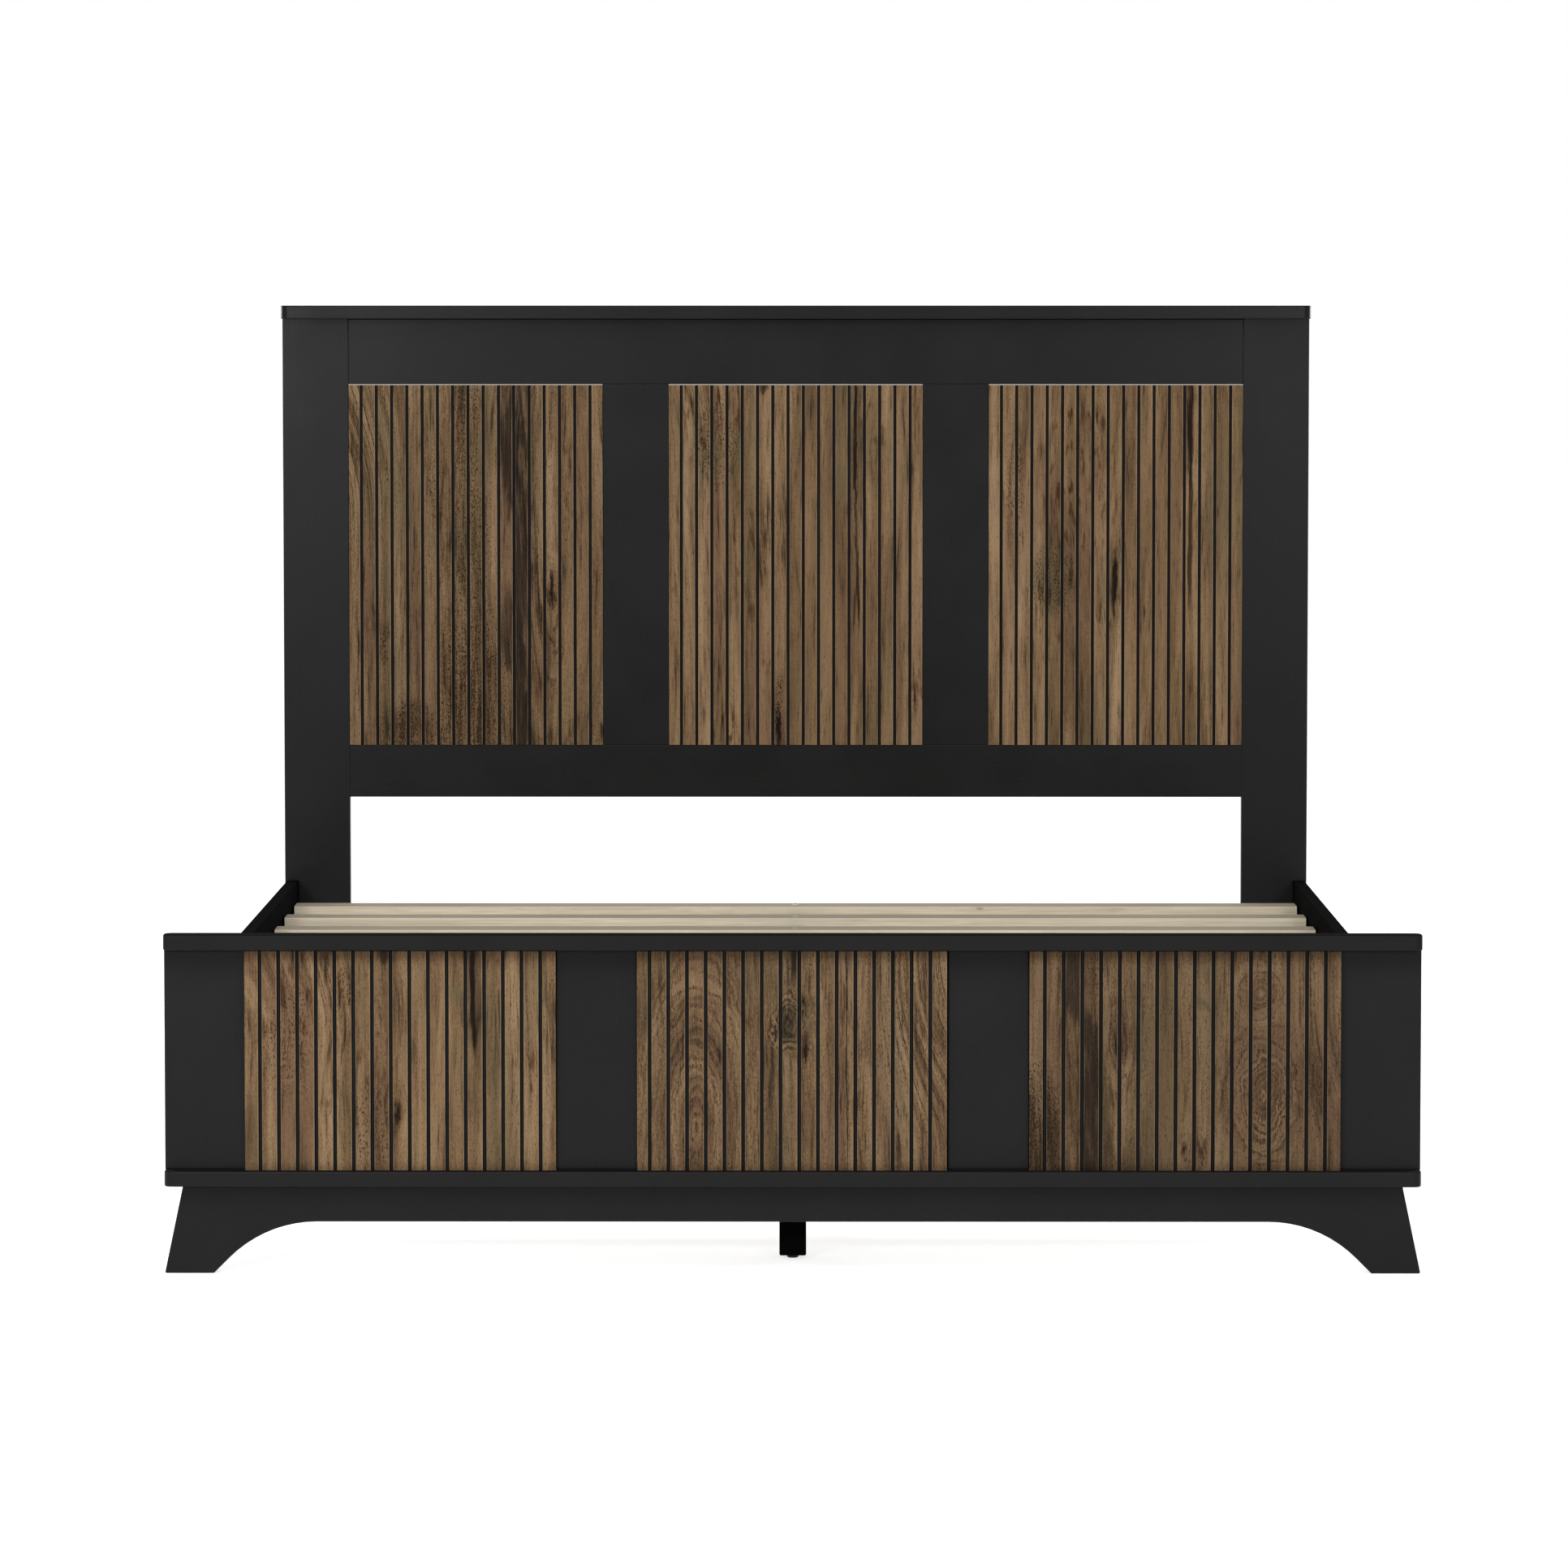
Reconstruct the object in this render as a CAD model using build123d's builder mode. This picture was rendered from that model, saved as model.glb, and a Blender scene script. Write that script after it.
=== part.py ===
from build123d import *
import os
from math import cos, radians

# A queen-size bed frame: grooved wood panels in black-painted boards, a slatted base and
# a row of centre legs. Millimetres. X runs across the bed, +Y to the headboard, +Z up.
# The origin is on the floor under the middle of the frame.

os.makedirs("parts", exist_ok=True)

# ---- Driving dimensions ------------------------------------------------------------

# Mattress well
mattress_width = 1524
mattress_length = 2032
mattress_side_room = 23  # each side
mattress_end_room = 23  # in all
deck_height = 303.5  # top of the slats

# Boards of the body
side_rail_thickness = 19
side_rail_inset = 3  # outer face of the rail inside the body's edge
side_rail_rise = 27.1  # rail top above the slats
post_width = 103.5  # posts and stiles alike
arris_radius = 1.2  # eased edges of the painted boards
back_board_thickness = 4

# Grooved panels
panel_thickness = 18
panel_fit = 0.3  # gap between a panel and each stile
groove_pitch = 24
groove_width = 4.3
groove_depth = 4
groove_bevel = 0.4
groove_edge_land = 14  # least distance from a panel's side to the first groove's middle
groove_stop = 2.2  # grooves end this far under the panel's top
panel_top_bevel = 1.8

# Footboard, from the floor up
arch_height = 66.8
arch_radius = 160
arch_flank_angle = 45
toe_width = 63
toe_corner_radius = 2
foot_splay = 23.7  # how far the foot leans out between its top and the floor
apron_rail_height = 46
apron_setback = 10
ledge_thickness = 20
foot_panel_height = 284.6
foot_cap_thickness = 20
foot_cap_depth = 35
foot_stile_thickness = 8
foot_centre_panel_gap = 1.8  # the centre panel was cut narrow, and sits to the left
foot_centre_groove_shift = 3.4
cap_corner_radius = 11  # seen from above
cap_edge_radius = 1.8

# Headboard, from the top down
head_height = 1237
head_cap_thickness = 21
head_cap_front_overhang = 14
head_cap_back_overhang = 1
head_cap_side_overhang = 2
head_top_rail_height = 102
head_panel_height = 568.5
head_lower_rail_height = 82.5
post_thickness = 20

# Slatted base
slat_width = 60
slat_thickness = 18
slat_count = 10
slat_end_space = 127.5  # from each end of the well to the nearest slat's middle
slat_end_gap = 4
slat_arris_radius = 1
ledger_width = 25
ledger_height = 25
ledger_end_gap = 2
centre_rail_width = 35
centre_rail_height = 60
centre_rail_overhang = 15  # past the outer slats
leg_width = 35
leg_chamfer = 1.5
slats_between_legs = 3

# Corner blocks inside the footboard
block_width = 40
block_depth = 40
block_foot_height = 30

# Levelling feet
leveller_pad_height = 4.3
leveller_pad_radius = 8.7
leveller_sole_radius = 6.5
leveller_rim_height = 1.2
leveller_stud_radius = 4
leveller_stud_length = 26
leveller_stud_clearance = 0.15
leveller_insert_radius = 5.75
leveller_insert_length = 15
leveller_socket_room = 3  # empty hole above the stud

# Fasteners
hole_clearance = 0.1  # between a fastener and its hole, on the radius
rail_bolt_radius = 3
rail_bolt_length = 50
rail_bolt_head_radius = 7.5
rail_bolt_head_height = 3
rail_bolt_hole_radius = 3.5
rail_bolt_seat_radius = 8.25
rail_bolt_seat_depth = 4
rail_bolt_low_rise = 37  # lower bolt above the rail's bottom
rail_bolt_spacing = 80
hex_socket_radius = 2.3
hex_socket_depth = 2
barrel_nut_radius = 5
barrel_nut_length = 14
barrel_nut_back = 25  # nut's middle behind the rail's end
barrel_nut_cover = 2  # wood left outside the nut's hole
insert_radius = 5
insert_length = 13
leg_bolt_length = 90
leg_bolt_head_radius = 5.5
leg_bolt_head_height = 3
screw_radius = 2
screw_length = 35
screw_head_radius = 4
screw_tip_length = 5
screw_tip_radius = 0.4
screw_recess_width = 1
screw_recess_span = 4.4
screw_recess_depth = 1.5
slat_screw_margin = 10  # from the slat's end
ledger_screw_count = 6
ledger_screw_margin = 60
block_screw_length = 50
dowel_radius = 4
dowel_length = 36
cap_dowel_length = 28
ledge_dowel_length = 26
ledge_dowel_depth = 9  # in the ledge
dowel_end_room = 1
rail_dowel_spacing = 44
cap_dowel_count = 6
cap_dowel_margin = 52
panel_dowel_spacing = 200
apron_dowel_spacing = 250
apron_dowel_count = 5

# ---- Places worked out from them -----------------------------------------------------

inner_width = mattress_width + 2 * mattress_side_room
inner_length = mattress_length + mattress_end_room
body_width = inner_width + 2 * (side_rail_thickness + side_rail_inset)
rail_inner_x = inner_width / 2
rail_outer_x = rail_inner_x + side_rail_thickness
rail_x = (rail_inner_x + rail_outer_x) / 2
panel_opening = (body_width - 4 * post_width) / 3
panel_width = panel_opening - 2 * panel_fit
panel_spacing = panel_opening + post_width
stile_x = panel_spacing / 2
post_x = (body_width - post_width) / 2
post_inner_x = body_width / 2 - post_width
opening_width = 2 * post_inner_x

overall_length = foot_cap_depth + inner_length + post_thickness + head_cap_back_overhang
foot_front = -overall_length / 2
foot_back = foot_front + foot_cap_depth
foot_board_face = foot_back - back_board_thickness
foot_stile_face = foot_board_face - foot_stile_thickness
foot_panel_face = foot_board_face - panel_thickness
foot_panel_y = foot_board_face - panel_thickness / 2
apron_face = foot_front + apron_setback
apron_thickness = foot_back - apron_face
apron_y = apron_face + apron_thickness / 2
head_front = foot_back + inner_length
head_back = head_front + post_thickness
post_y = (head_front + head_back) / 2
head_rail_thickness = post_thickness - back_board_thickness
head_rail_back = head_front + head_rail_thickness
head_rail_y = head_front + head_rail_thickness / 2
head_panel_face = head_rail_back - panel_thickness
head_cap_front = head_front - head_cap_front_overhang
head_cap_back = head_back + head_cap_back_overhang
head_cap_y = (head_cap_front + head_cap_back) / 2
foot_cap_y = (foot_front + foot_back) / 2

ledge_bottom = arch_height + apron_rail_height
ledge_top = ledge_bottom + ledge_thickness
foot_cap_bottom = ledge_top + foot_panel_height
side_rail_bottom = ledge_top
side_rail_top = deck_height + side_rail_rise
slat_bottom = deck_height - slat_thickness
ledger_bottom = slat_bottom - ledger_height
centre_rail_bottom = slat_bottom - centre_rail_height
head_cap_bottom = head_height - head_cap_thickness
top_rail_bottom = head_cap_bottom - head_top_rail_height
head_panel_bottom = top_rail_bottom - head_panel_height
lower_rail_bottom = head_panel_bottom - head_lower_rail_height

slat_length = inner_width - 2 * slat_end_gap
slat_pitch = (inner_length - 2 * slat_end_space) / (slat_count - 1)
slat_rows = [foot_back + slat_end_space + i * slat_pitch for i in range(slat_count)]
leg_rows = slat_rows[::slats_between_legs]
screwed_rows = [y for y in slat_rows if y not in leg_rows]
ledger_inner_x = rail_inner_x - ledger_width
ledger_x = rail_inner_x - ledger_width / 2
block_x = rail_inner_x - block_width / 2
block_back = foot_back + block_depth
block_y = (foot_back + block_back) / 2
ledger_front = block_back + ledger_end_gap
ledger_back = head_front - ledger_end_gap

sides = (("left", -1), ("right", 1))
thirds = (("left", -1), ("centre", 0), ("right", 1))

# ---- Where the fasteners sit: each plane lies under a head and faces out of it -----------

low_bolt_height = side_rail_bottom + rail_bolt_low_rise
bolt_heights = (low_bolt_height, low_bolt_height + rail_bolt_spacing)
head_bolt_faces = [
    Plane((side * rail_x, head_back, z), z_dir=(0, 1, 0))
    for _, side in sides
    for z in bolt_heights
]
head_bolt_seats = [face.offset(-rail_bolt_seat_depth) for face in head_bolt_faces]
foot_bolt_seats = [
    Plane((side * (rail_inner_x - block_width), block_y, z), z_dir=(-side, 0, 0))
    for _, side in sides
    for z in bolt_heights
]
barrel_nut_y = head_front - barrel_nut_back
barrel_nut_mouths = [
    Plane((side * rail_inner_x, barrel_nut_y, z), z_dir=(-side, 0, 0))
    for _, side in sides
    for z in bolt_heights
]
rail_insert_mouths = [
    Plane((side * rail_inner_x, block_y, z), z_dir=(-side, 0, 0))
    for _, side in sides
    for z in bolt_heights
]
leg_bolt_seats = [Plane((0, y, deck_height)) for y in leg_rows]
leg_insert_mouths = [Plane((0, y, centre_rail_bottom)) for y in leg_rows]
leveller_mouths = [
    Plane((0, y, leveller_pad_height), z_dir=(0, 0, -1)) for y in leg_rows
]
slat_screw_x = slat_length / 2 - slat_screw_margin
slat_screw_seats = [
    Plane((side * slat_screw_x, y, deck_height)) for _, side in sides for y in slat_rows
] + [Plane((0, y, deck_height)) for y in screwed_rows]
ledger_screw_step = (
    ledger_back - ledger_front - 2 * ledger_screw_margin
) / (ledger_screw_count - 1)
ledger_screw_seats = [
    Plane(
        (
            side * ledger_inner_x,
            ledger_front + ledger_screw_margin + i * ledger_screw_step,
            ledger_bottom + ledger_height / 2,
        ),
        z_dir=(-side, 0, 0),
    )
    for _, side in sides
    for i in range(ledger_screw_count)
]
block_screw_heights = (
    (block_foot_height + ledge_bottom) / 2,
    (ledge_bottom + ledge_top) / 2,
    sum(bolt_heights) / 2,
)
block_screw_seats = [
    Plane((side * block_x, block_back, z), z_dir=(0, 1, 0))
    for _, side in sides
    for z in block_screw_heights
]

# Dowels: each plane lies on the joint, across the dowel.
top_rail_z = (top_rail_bottom + head_cap_bottom) / 2
lower_rail_z = (lower_rail_bottom + head_panel_bottom) / 2
rail_end_dowels = [
    Plane((side * post_inner_x, head_rail_y, z + step), z_dir=(side, 0, 0))
    for _, side in sides
    for z in (top_rail_z, lower_rail_z)
    for step in (-rail_dowel_spacing / 2, rail_dowel_spacing / 2)
]
stile_dowels = [
    Plane((side * stile_x, head_rail_y, z))
    for _, side in sides
    for z in (head_panel_bottom, top_rail_bottom)
]
cap_dowel_step = (body_width - 2 * cap_dowel_margin) / (cap_dowel_count - 1)
head_cap_dowels = [
    Plane((cap_dowel_margin - body_width / 2 + i * cap_dowel_step, head_rail_y, head_cap_bottom))
    for i in range(cap_dowel_count)
]
panel_dowel_xs = [
    third * panel_spacing + step
    for _, third in thirds
    for step in (-panel_dowel_spacing / 2, panel_dowel_spacing / 2)
]
foot_cap_dowels = [Plane((x, foot_panel_y, foot_cap_bottom)) for x in panel_dowel_xs]
ledge_panel_dowels = [Plane((x, foot_panel_y, ledge_top)) for x in panel_dowel_xs]
apron_dowels = [
    Plane(((i - (apron_dowel_count - 1) / 2) * apron_dowel_spacing, apron_y, ledge_bottom))
    for i in range(apron_dowel_count)
]
dowel_hole_radius = dowel_radius + hole_clearance
screw_hole_radius = screw_radius + hole_clearance
screw_sink_radius = screw_head_radius + hole_clearance


def save(piece, label):
    piece.part.label = label
    export_step(piece.part, f"parts/{label}.step")


def drill(places, radius, depth):
    """Blind holes going down from each place's plane."""
    with Locations(*places):
        Hole(radius, depth)


def drill_both_ways(places, radius, depth):
    """Holes that reach the same depth either side of each place's plane."""
    with Locations(*places):
        Cylinder(radius, 2 * depth, mode=Mode.SUBTRACT)


# ---- Headboard -------------------------------------------------------------------------

# Posts: full-height boards at the outer corners, bored from the back for the rail bolts.
for side_name, side in sides:
    with BuildPart() as headboard_post:
        with BuildSketch():
            with Locations((side * post_x, post_y)):
                Rectangle(post_width, post_thickness)
        extrude(amount=head_cap_bottom)
        fillet(headboard_post.edges().filter_by(Axis.Z), arris_radius)
        with Locations(*head_bolt_faces):
            CounterBoreHole(
                rail_bolt_hole_radius,
                rail_bolt_seat_radius,
                rail_bolt_seat_depth,
                post_thickness,
            )
        drill_both_ways(rail_end_dowels, dowel_hole_radius, dowel_length / 2 + dowel_end_room)
        drill_both_ways(head_cap_dowels, dowel_hole_radius, cap_dowel_length / 2 + dowel_end_room)
    save(headboard_post, f"headboard_post_{side_name}")

# Top rail, between the posts and under the cap.
with BuildPart() as headboard_top_rail:
    with BuildSketch(Plane.XY.offset(top_rail_bottom)):
        with Locations((0, head_rail_y)):
            Rectangle(opening_width, head_rail_thickness)
    extrude(amount=head_top_rail_height)
    fillet(headboard_top_rail.faces().sort_by(Axis.Y)[0].edges(), arris_radius)
    drill_both_ways(rail_end_dowels, dowel_hole_radius, dowel_length / 2 + dowel_end_room)
    drill_both_ways(stile_dowels, dowel_hole_radius, dowel_length / 2 + dowel_end_room)
    drill_both_ways(head_cap_dowels, dowel_hole_radius, cap_dowel_length / 2 + dowel_end_room)
save(headboard_top_rail, "headboard_top_rail")

# Lower rail, with the open gap under it.
with BuildPart() as headboard_lower_rail:
    with BuildSketch(Plane.XY.offset(lower_rail_bottom)):
        with Locations((0, head_rail_y)):
            Rectangle(opening_width, head_rail_thickness)
    extrude(amount=head_lower_rail_height)
    fillet(headboard_lower_rail.faces().sort_by(Axis.Y)[0].edges(), arris_radius)
    drill_both_ways(rail_end_dowels, dowel_hole_radius, dowel_length / 2 + dowel_end_room)
    drill_both_ways(stile_dowels, dowel_hole_radius, dowel_length / 2 + dowel_end_room)
save(headboard_lower_rail, "headboard_lower_rail")

# Stiles between the three panels.
for side_name, side in sides:
    with BuildPart() as headboard_stile:
        with BuildSketch(Plane.XY.offset(head_panel_bottom)):
            with Locations((side * stile_x, head_rail_y)):
                Rectangle(post_width, head_rail_thickness)
        extrude(amount=head_panel_height)
        fillet(headboard_stile.faces().sort_by(Axis.Y)[0].edges(), arris_radius)
        drill_both_ways(stile_dowels, dowel_hole_radius, dowel_length / 2 + dowel_end_room)
    save(headboard_stile, f"headboard_stile_{side_name}")

# Thin back board, let in between the posts behind the rails, stiles and panels.
with BuildPart() as headboard_back_board:
    with BuildSketch(Plane.XY.offset(lower_rail_bottom)):
        with Locations((0, head_back - back_board_thickness / 2)):
            Rectangle(opening_width - 2 * panel_fit, back_board_thickness)
    extrude(amount=head_cap_bottom - lower_rail_bottom)
save(headboard_back_board, "headboard_back_board")

# Cap along the top, with rounded corners and a lip over the face.
with BuildPart() as headboard_cap:
    with BuildSketch(Plane.XY.offset(head_cap_bottom)):
        with Locations((0, head_cap_y)):
            RectangleRounded(
                body_width + 2 * head_cap_side_overhang,
                head_cap_back - head_cap_front,
                cap_corner_radius,
            )
    extrude(amount=head_cap_thickness)
    fillet(headboard_cap.faces().filter_by(Axis.Z).edges(), cap_edge_radius)
    drill_both_ways(head_cap_dowels, dowel_hole_radius, cap_dowel_length / 2 + dowel_end_room)
save(headboard_cap, "headboard_cap")

# Dowels that hold the rails, stiles and cap.
with BuildPart() as headboard_dowels:
    with Locations(*rail_end_dowels, *stile_dowels):
        Cylinder(dowel_radius, dowel_length)
    with Locations(*head_cap_dowels):
        Cylinder(dowel_radius, cap_dowel_length)
save(headboard_dowels, "headboard_dowels")

# ---- Grooved panels, the same board in the headboard and the footboard ------------------


def grooved_panel(centre_x, width, face_y, bottom, height, groove_shift):
    """A board with upright grooves in its face, stopped under a bevelled top edge."""
    spare = width / 2 - abs(groove_shift) - groove_edge_land
    groove_count = 2 * int(spare / groove_pitch + 0.5)
    with BuildPart() as panel:
        with BuildSketch(Plane.XY.offset(bottom)):
            with Locations((centre_x, face_y + panel_thickness / 2)):
                Rectangle(width, panel_thickness)
        extrude(amount=height)
        chamfer(panel.faces().sort_by(Axis.Y)[0].edges().sort_by(Axis.Z)[-1], panel_top_bevel)
        with BuildSketch(Plane.XY.offset(bottom)):
            with Locations((centre_x + groove_shift, face_y)):
                with GridLocations(groove_pitch, 0, groove_count, 1):
                    Polygon(
                        (-groove_width / 2 - groove_bevel, 0),
                        (groove_width / 2 + groove_bevel, 0),
                        (groove_width / 2, groove_bevel),
                        (groove_width / 2, groove_depth),
                        (-groove_width / 2, groove_depth),
                        (-groove_width / 2, groove_bevel),
                        align=None,
                    )
        extrude(amount=height - groove_stop, mode=Mode.SUBTRACT)
        drill_both_ways(foot_cap_dowels, dowel_hole_radius, cap_dowel_length / 2 + dowel_end_room)
        drill(
            [place.offset(ledge_dowel_length) for place in ledge_panel_dowels],
            dowel_hole_radius,
            ledge_dowel_length,
        )
    return panel


for third_name, third in thirds:
    headboard_panel = grooved_panel(
        third * panel_spacing,
        panel_width,
        head_panel_face,
        head_panel_bottom,
        head_panel_height,
        0,
    )
    save(headboard_panel, f"headboard_panel_{third_name}")

for third_name, third in thirds:
    is_centre = third == 0
    trim = foot_centre_panel_gap if is_centre else 0
    footboard_panel = grooved_panel(
        third * panel_spacing - trim / 2,
        panel_width - trim,
        foot_panel_face,
        ledge_top,
        foot_panel_height,
        trim / 2 - foot_centre_groove_shift if is_centre else 0,
    )
    save(footboard_panel, f"footboard_panel_{third_name}")

# ---- Footboard -------------------------------------------------------------------------

# Back board across the whole width; the stiles and panels are glued to its face.
with BuildPart() as footboard_back_board:
    with BuildSketch(Plane.XY.offset(ledge_top)):
        with Locations((0, foot_back - back_board_thickness / 2)):
            Rectangle(body_width, back_board_thickness)
    extrude(amount=foot_panel_height)
    drill(block_screw_seats, screw_hole_radius, block_screw_length + hole_clearance)
save(footboard_back_board, "footboard_back_board")

# Four thin stiles, set back behind the panels' faces.
foot_stiles = (
    ("outer_left", -post_x),
    ("inner_left", -stile_x),
    ("inner_right", stile_x),
    ("outer_right", post_x),
)
for stile_name, x in foot_stiles:
    with BuildPart() as footboard_stile:
        with BuildSketch(Plane.XY.offset(ledge_top)):
            with Locations((x, foot_stile_face + foot_stile_thickness / 2)):
                Rectangle(post_width, foot_stile_thickness)
        extrude(amount=foot_panel_height)
        front_edges = footboard_stile.faces().sort_by(Axis.Y)[0].edges()
        fillet(front_edges.filter_by(Axis.Z), arris_radius)
        drill(block_screw_seats, screw_hole_radius, block_screw_length + hole_clearance)
    save(footboard_stile, f"footboard_stile_{stile_name}")

# Cap along the top.
with BuildPart() as footboard_cap:
    with BuildSketch(Plane.XY.offset(foot_cap_bottom)):
        with Locations((0, foot_cap_y)):
            RectangleRounded(body_width, foot_cap_depth, cap_corner_radius)
    extrude(amount=foot_cap_thickness)
    fillet(footboard_cap.faces().filter_by(Axis.Z).edges(), cap_edge_radius)
    drill_both_ways(foot_cap_dowels, dowel_hole_radius, cap_dowel_length / 2 + dowel_end_room)
save(footboard_cap, "footboard_cap")

# Ledge that the panels and stiles stand on, the same section as the cap.
with BuildPart() as footboard_ledge:
    with BuildSketch(Plane.XY.offset(ledge_bottom)):
        with Locations((0, foot_cap_y)):
            RectangleRounded(body_width, foot_cap_depth, cap_corner_radius)
    extrude(amount=ledge_thickness)
    fillet(footboard_ledge.faces().filter_by(Axis.Z).edges(), cap_edge_radius)
    drill(ledge_panel_dowels, dowel_hole_radius, ledge_dowel_depth)
    drill(
        [place.offset(ledge_dowel_depth) for place in apron_dowels],
        dowel_hole_radius,
        ledge_dowel_depth,
    )
    drill(block_screw_seats, screw_hole_radius, block_screw_length + hole_clearance)
save(footboard_ledge, "footboard_ledge")

# Apron: one board under the ledge, cut to a splayed foot at each end and a shallow arch.
flank = radians(arch_flank_angle)
toe_rise = arch_height - arch_radius * (1 - cos(flank))
toe_inner_x = body_width / 2 - toe_width
with BuildPart() as footboard_apron:
    with BuildSketch(Plane.XZ.offset(-foot_back)) as apron_outline:
        with BuildLine():
            Polyline(
                (0, ledge_bottom),
                (body_width / 2 - foot_splay, ledge_bottom),
                (body_width / 2, 0),
                (toe_inner_x, 0),
            )
            flank_line = PolarLine(
                (toe_inner_x, 0), toe_rise, 180 - arch_flank_angle, length_mode=LengthMode.VERTICAL
            )
            arch = JernArc(flank_line @ 1, flank_line % 1, arch_radius, arch_flank_angle)
            Polyline(arch @ 1, (0, arch_height), (0, ledge_bottom))
        make_face()
        fillet(apron_outline.vertices().group_by(Axis.Y)[0], toe_corner_radius)
        mirror(about=Plane.YZ)
    extrude(amount=apron_thickness)
    fillet(footboard_apron.faces().sort_by(Axis.Y)[0].edges(), arris_radius)
    drill(
        apron_dowels,
        dowel_hole_radius,
        ledge_dowel_length - ledge_dowel_depth + dowel_end_room,
    )
    drill(block_screw_seats, screw_hole_radius, block_screw_length + hole_clearance)
save(footboard_apron, "footboard_apron")

# Dowels between the cap, panels, ledge and apron.
with BuildPart() as footboard_dowels:
    with Locations(*foot_cap_dowels):
        Cylinder(dowel_radius, cap_dowel_length)
    with Locations(*[place.offset(-ledge_dowel_depth) for place in ledge_panel_dowels]):
        Cylinder(
            dowel_radius, ledge_dowel_length, align=(Align.CENTER, Align.CENTER, Align.MIN)
        )
    with Locations(*[place.offset(ledge_dowel_depth) for place in apron_dowels]):
        Cylinder(
            dowel_radius, ledge_dowel_length, align=(Align.CENTER, Align.CENTER, Align.MAX)
        )
save(footboard_dowels, "footboard_dowels")

# Corner blocks inside the footboard; the side rails bolt to them.
for side_name, side in sides:
    with BuildPart() as corner_block:
        with BuildSketch(Plane.XY.offset(block_foot_height)):
            with Locations((side * block_x, block_y)):
                Rectangle(block_width, block_depth)
        extrude(amount=slat_bottom - block_foot_height)
        chamfer(corner_block.faces().sort_by(Axis.Z)[0].edges(), leg_chamfer)
        drill(foot_bolt_seats, rail_bolt_hole_radius, block_width)
        with Locations(*block_screw_seats):
            CounterSinkHole(screw_hole_radius, screw_sink_radius, block_depth)
    save(corner_block, f"corner_block_{side_name}")

# ---- Side rails and the ledgers the slats lie on -------------------------------------------

for side_name, side in sides:
    with BuildPart() as side_rail:
        with BuildSketch(Plane.XY.offset(side_rail_bottom)):
            with Locations((side * rail_x, (foot_back + head_front) / 2)):
                Rectangle(side_rail_thickness, inner_length)
        extrude(amount=side_rail_top - side_rail_bottom)
        fillet(side_rail.edges().filter_by(Axis.Y), arris_radius)
        drill(
            head_bolt_seats,
            rail_bolt_hole_radius,
            rail_bolt_length + dowel_end_room,
        )
        drill(
            barrel_nut_mouths,
            barrel_nut_radius + hole_clearance,
            side_rail_thickness - barrel_nut_cover,
        )
        drill(rail_insert_mouths, insert_radius + hole_clearance, insert_length)
        drill(ledger_screw_seats, screw_hole_radius, screw_length + hole_clearance)
    save(side_rail, f"side_rail_{side_name}")

for side_name, side in sides:
    with BuildPart() as slat_ledger:
        with BuildSketch(Plane.XY.offset(ledger_bottom)):
            with Locations((side * ledger_x, (ledger_front + ledger_back) / 2)):
                Rectangle(ledger_width, ledger_back - ledger_front)
        extrude(amount=ledger_height)
        with Locations(*ledger_screw_seats):
            CounterSinkHole(screw_hole_radius, screw_sink_radius, ledger_width)
        drill(slat_screw_seats, screw_hole_radius, screw_length + hole_clearance)
    save(slat_ledger, f"slat_ledger_{side_name}")

# ---- Slats, the rail under their middles and its legs -----------------------------------------

for number, row in enumerate(slat_rows, 1):
    with BuildPart() as slat:
        with BuildSketch(Plane.XY.offset(slat_bottom)):
            with Locations((0, row)):
                Rectangle(slat_length, slat_width)
        extrude(amount=slat_thickness)
        fillet(slat.edges().filter_by(Axis.X), slat_arris_radius)
        with Locations(*slat_screw_seats):
            CounterSinkHole(screw_hole_radius, screw_sink_radius, slat_thickness)
        drill(leg_bolt_seats, rail_bolt_hole_radius, slat_thickness)
    save(slat, f"slat_{number:02d}")

centre_rail_front = slat_rows[0] - slat_width / 2 - centre_rail_overhang
centre_rail_back = slat_rows[-1] + slat_width / 2 + centre_rail_overhang
with BuildPart() as centre_rail:
    with BuildSketch(Plane.XY.offset(centre_rail_bottom)):
        with Locations((0, (centre_rail_front + centre_rail_back) / 2)):
            Rectangle(centre_rail_width, centre_rail_back - centre_rail_front)
    extrude(amount=centre_rail_height)
    fillet(centre_rail.edges().filter_by(Axis.Y), arris_radius)
    drill(slat_screw_seats, screw_hole_radius, screw_length + hole_clearance)
    drill(leg_bolt_seats, rail_bolt_hole_radius, slat_thickness + centre_rail_height)
save(centre_rail, "centre_rail")

for number, row in enumerate(leg_rows, 1):
    with BuildPart() as centre_leg:
        with BuildSketch(Plane.XY.offset(leveller_pad_height)):
            with Locations((0, row)):
                Rectangle(leg_width, leg_width)
        extrude(amount=centre_rail_bottom - leveller_pad_height)
        upright_edges = centre_leg.edges().filter_by(Axis.Z)
        chamfer(upright_edges, leg_chamfer)
        chamfer(centre_leg.faces().sort_by(Axis.Z)[0].edges(), leg_chamfer)
        drill(leg_bolt_seats, rail_bolt_hole_radius, leg_bolt_length + dowel_end_room)
        drill(leg_insert_mouths, insert_radius + hole_clearance, insert_length)
        drill(
            leveller_mouths,
            leveller_insert_radius + hole_clearance,
            leveller_insert_length,
        )
        drill(
            leveller_mouths,
            leveller_stud_radius + leveller_stud_clearance,
            leveller_stud_length + leveller_socket_room,
        )
    save(centre_leg, f"centre_leg_{number}")

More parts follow.
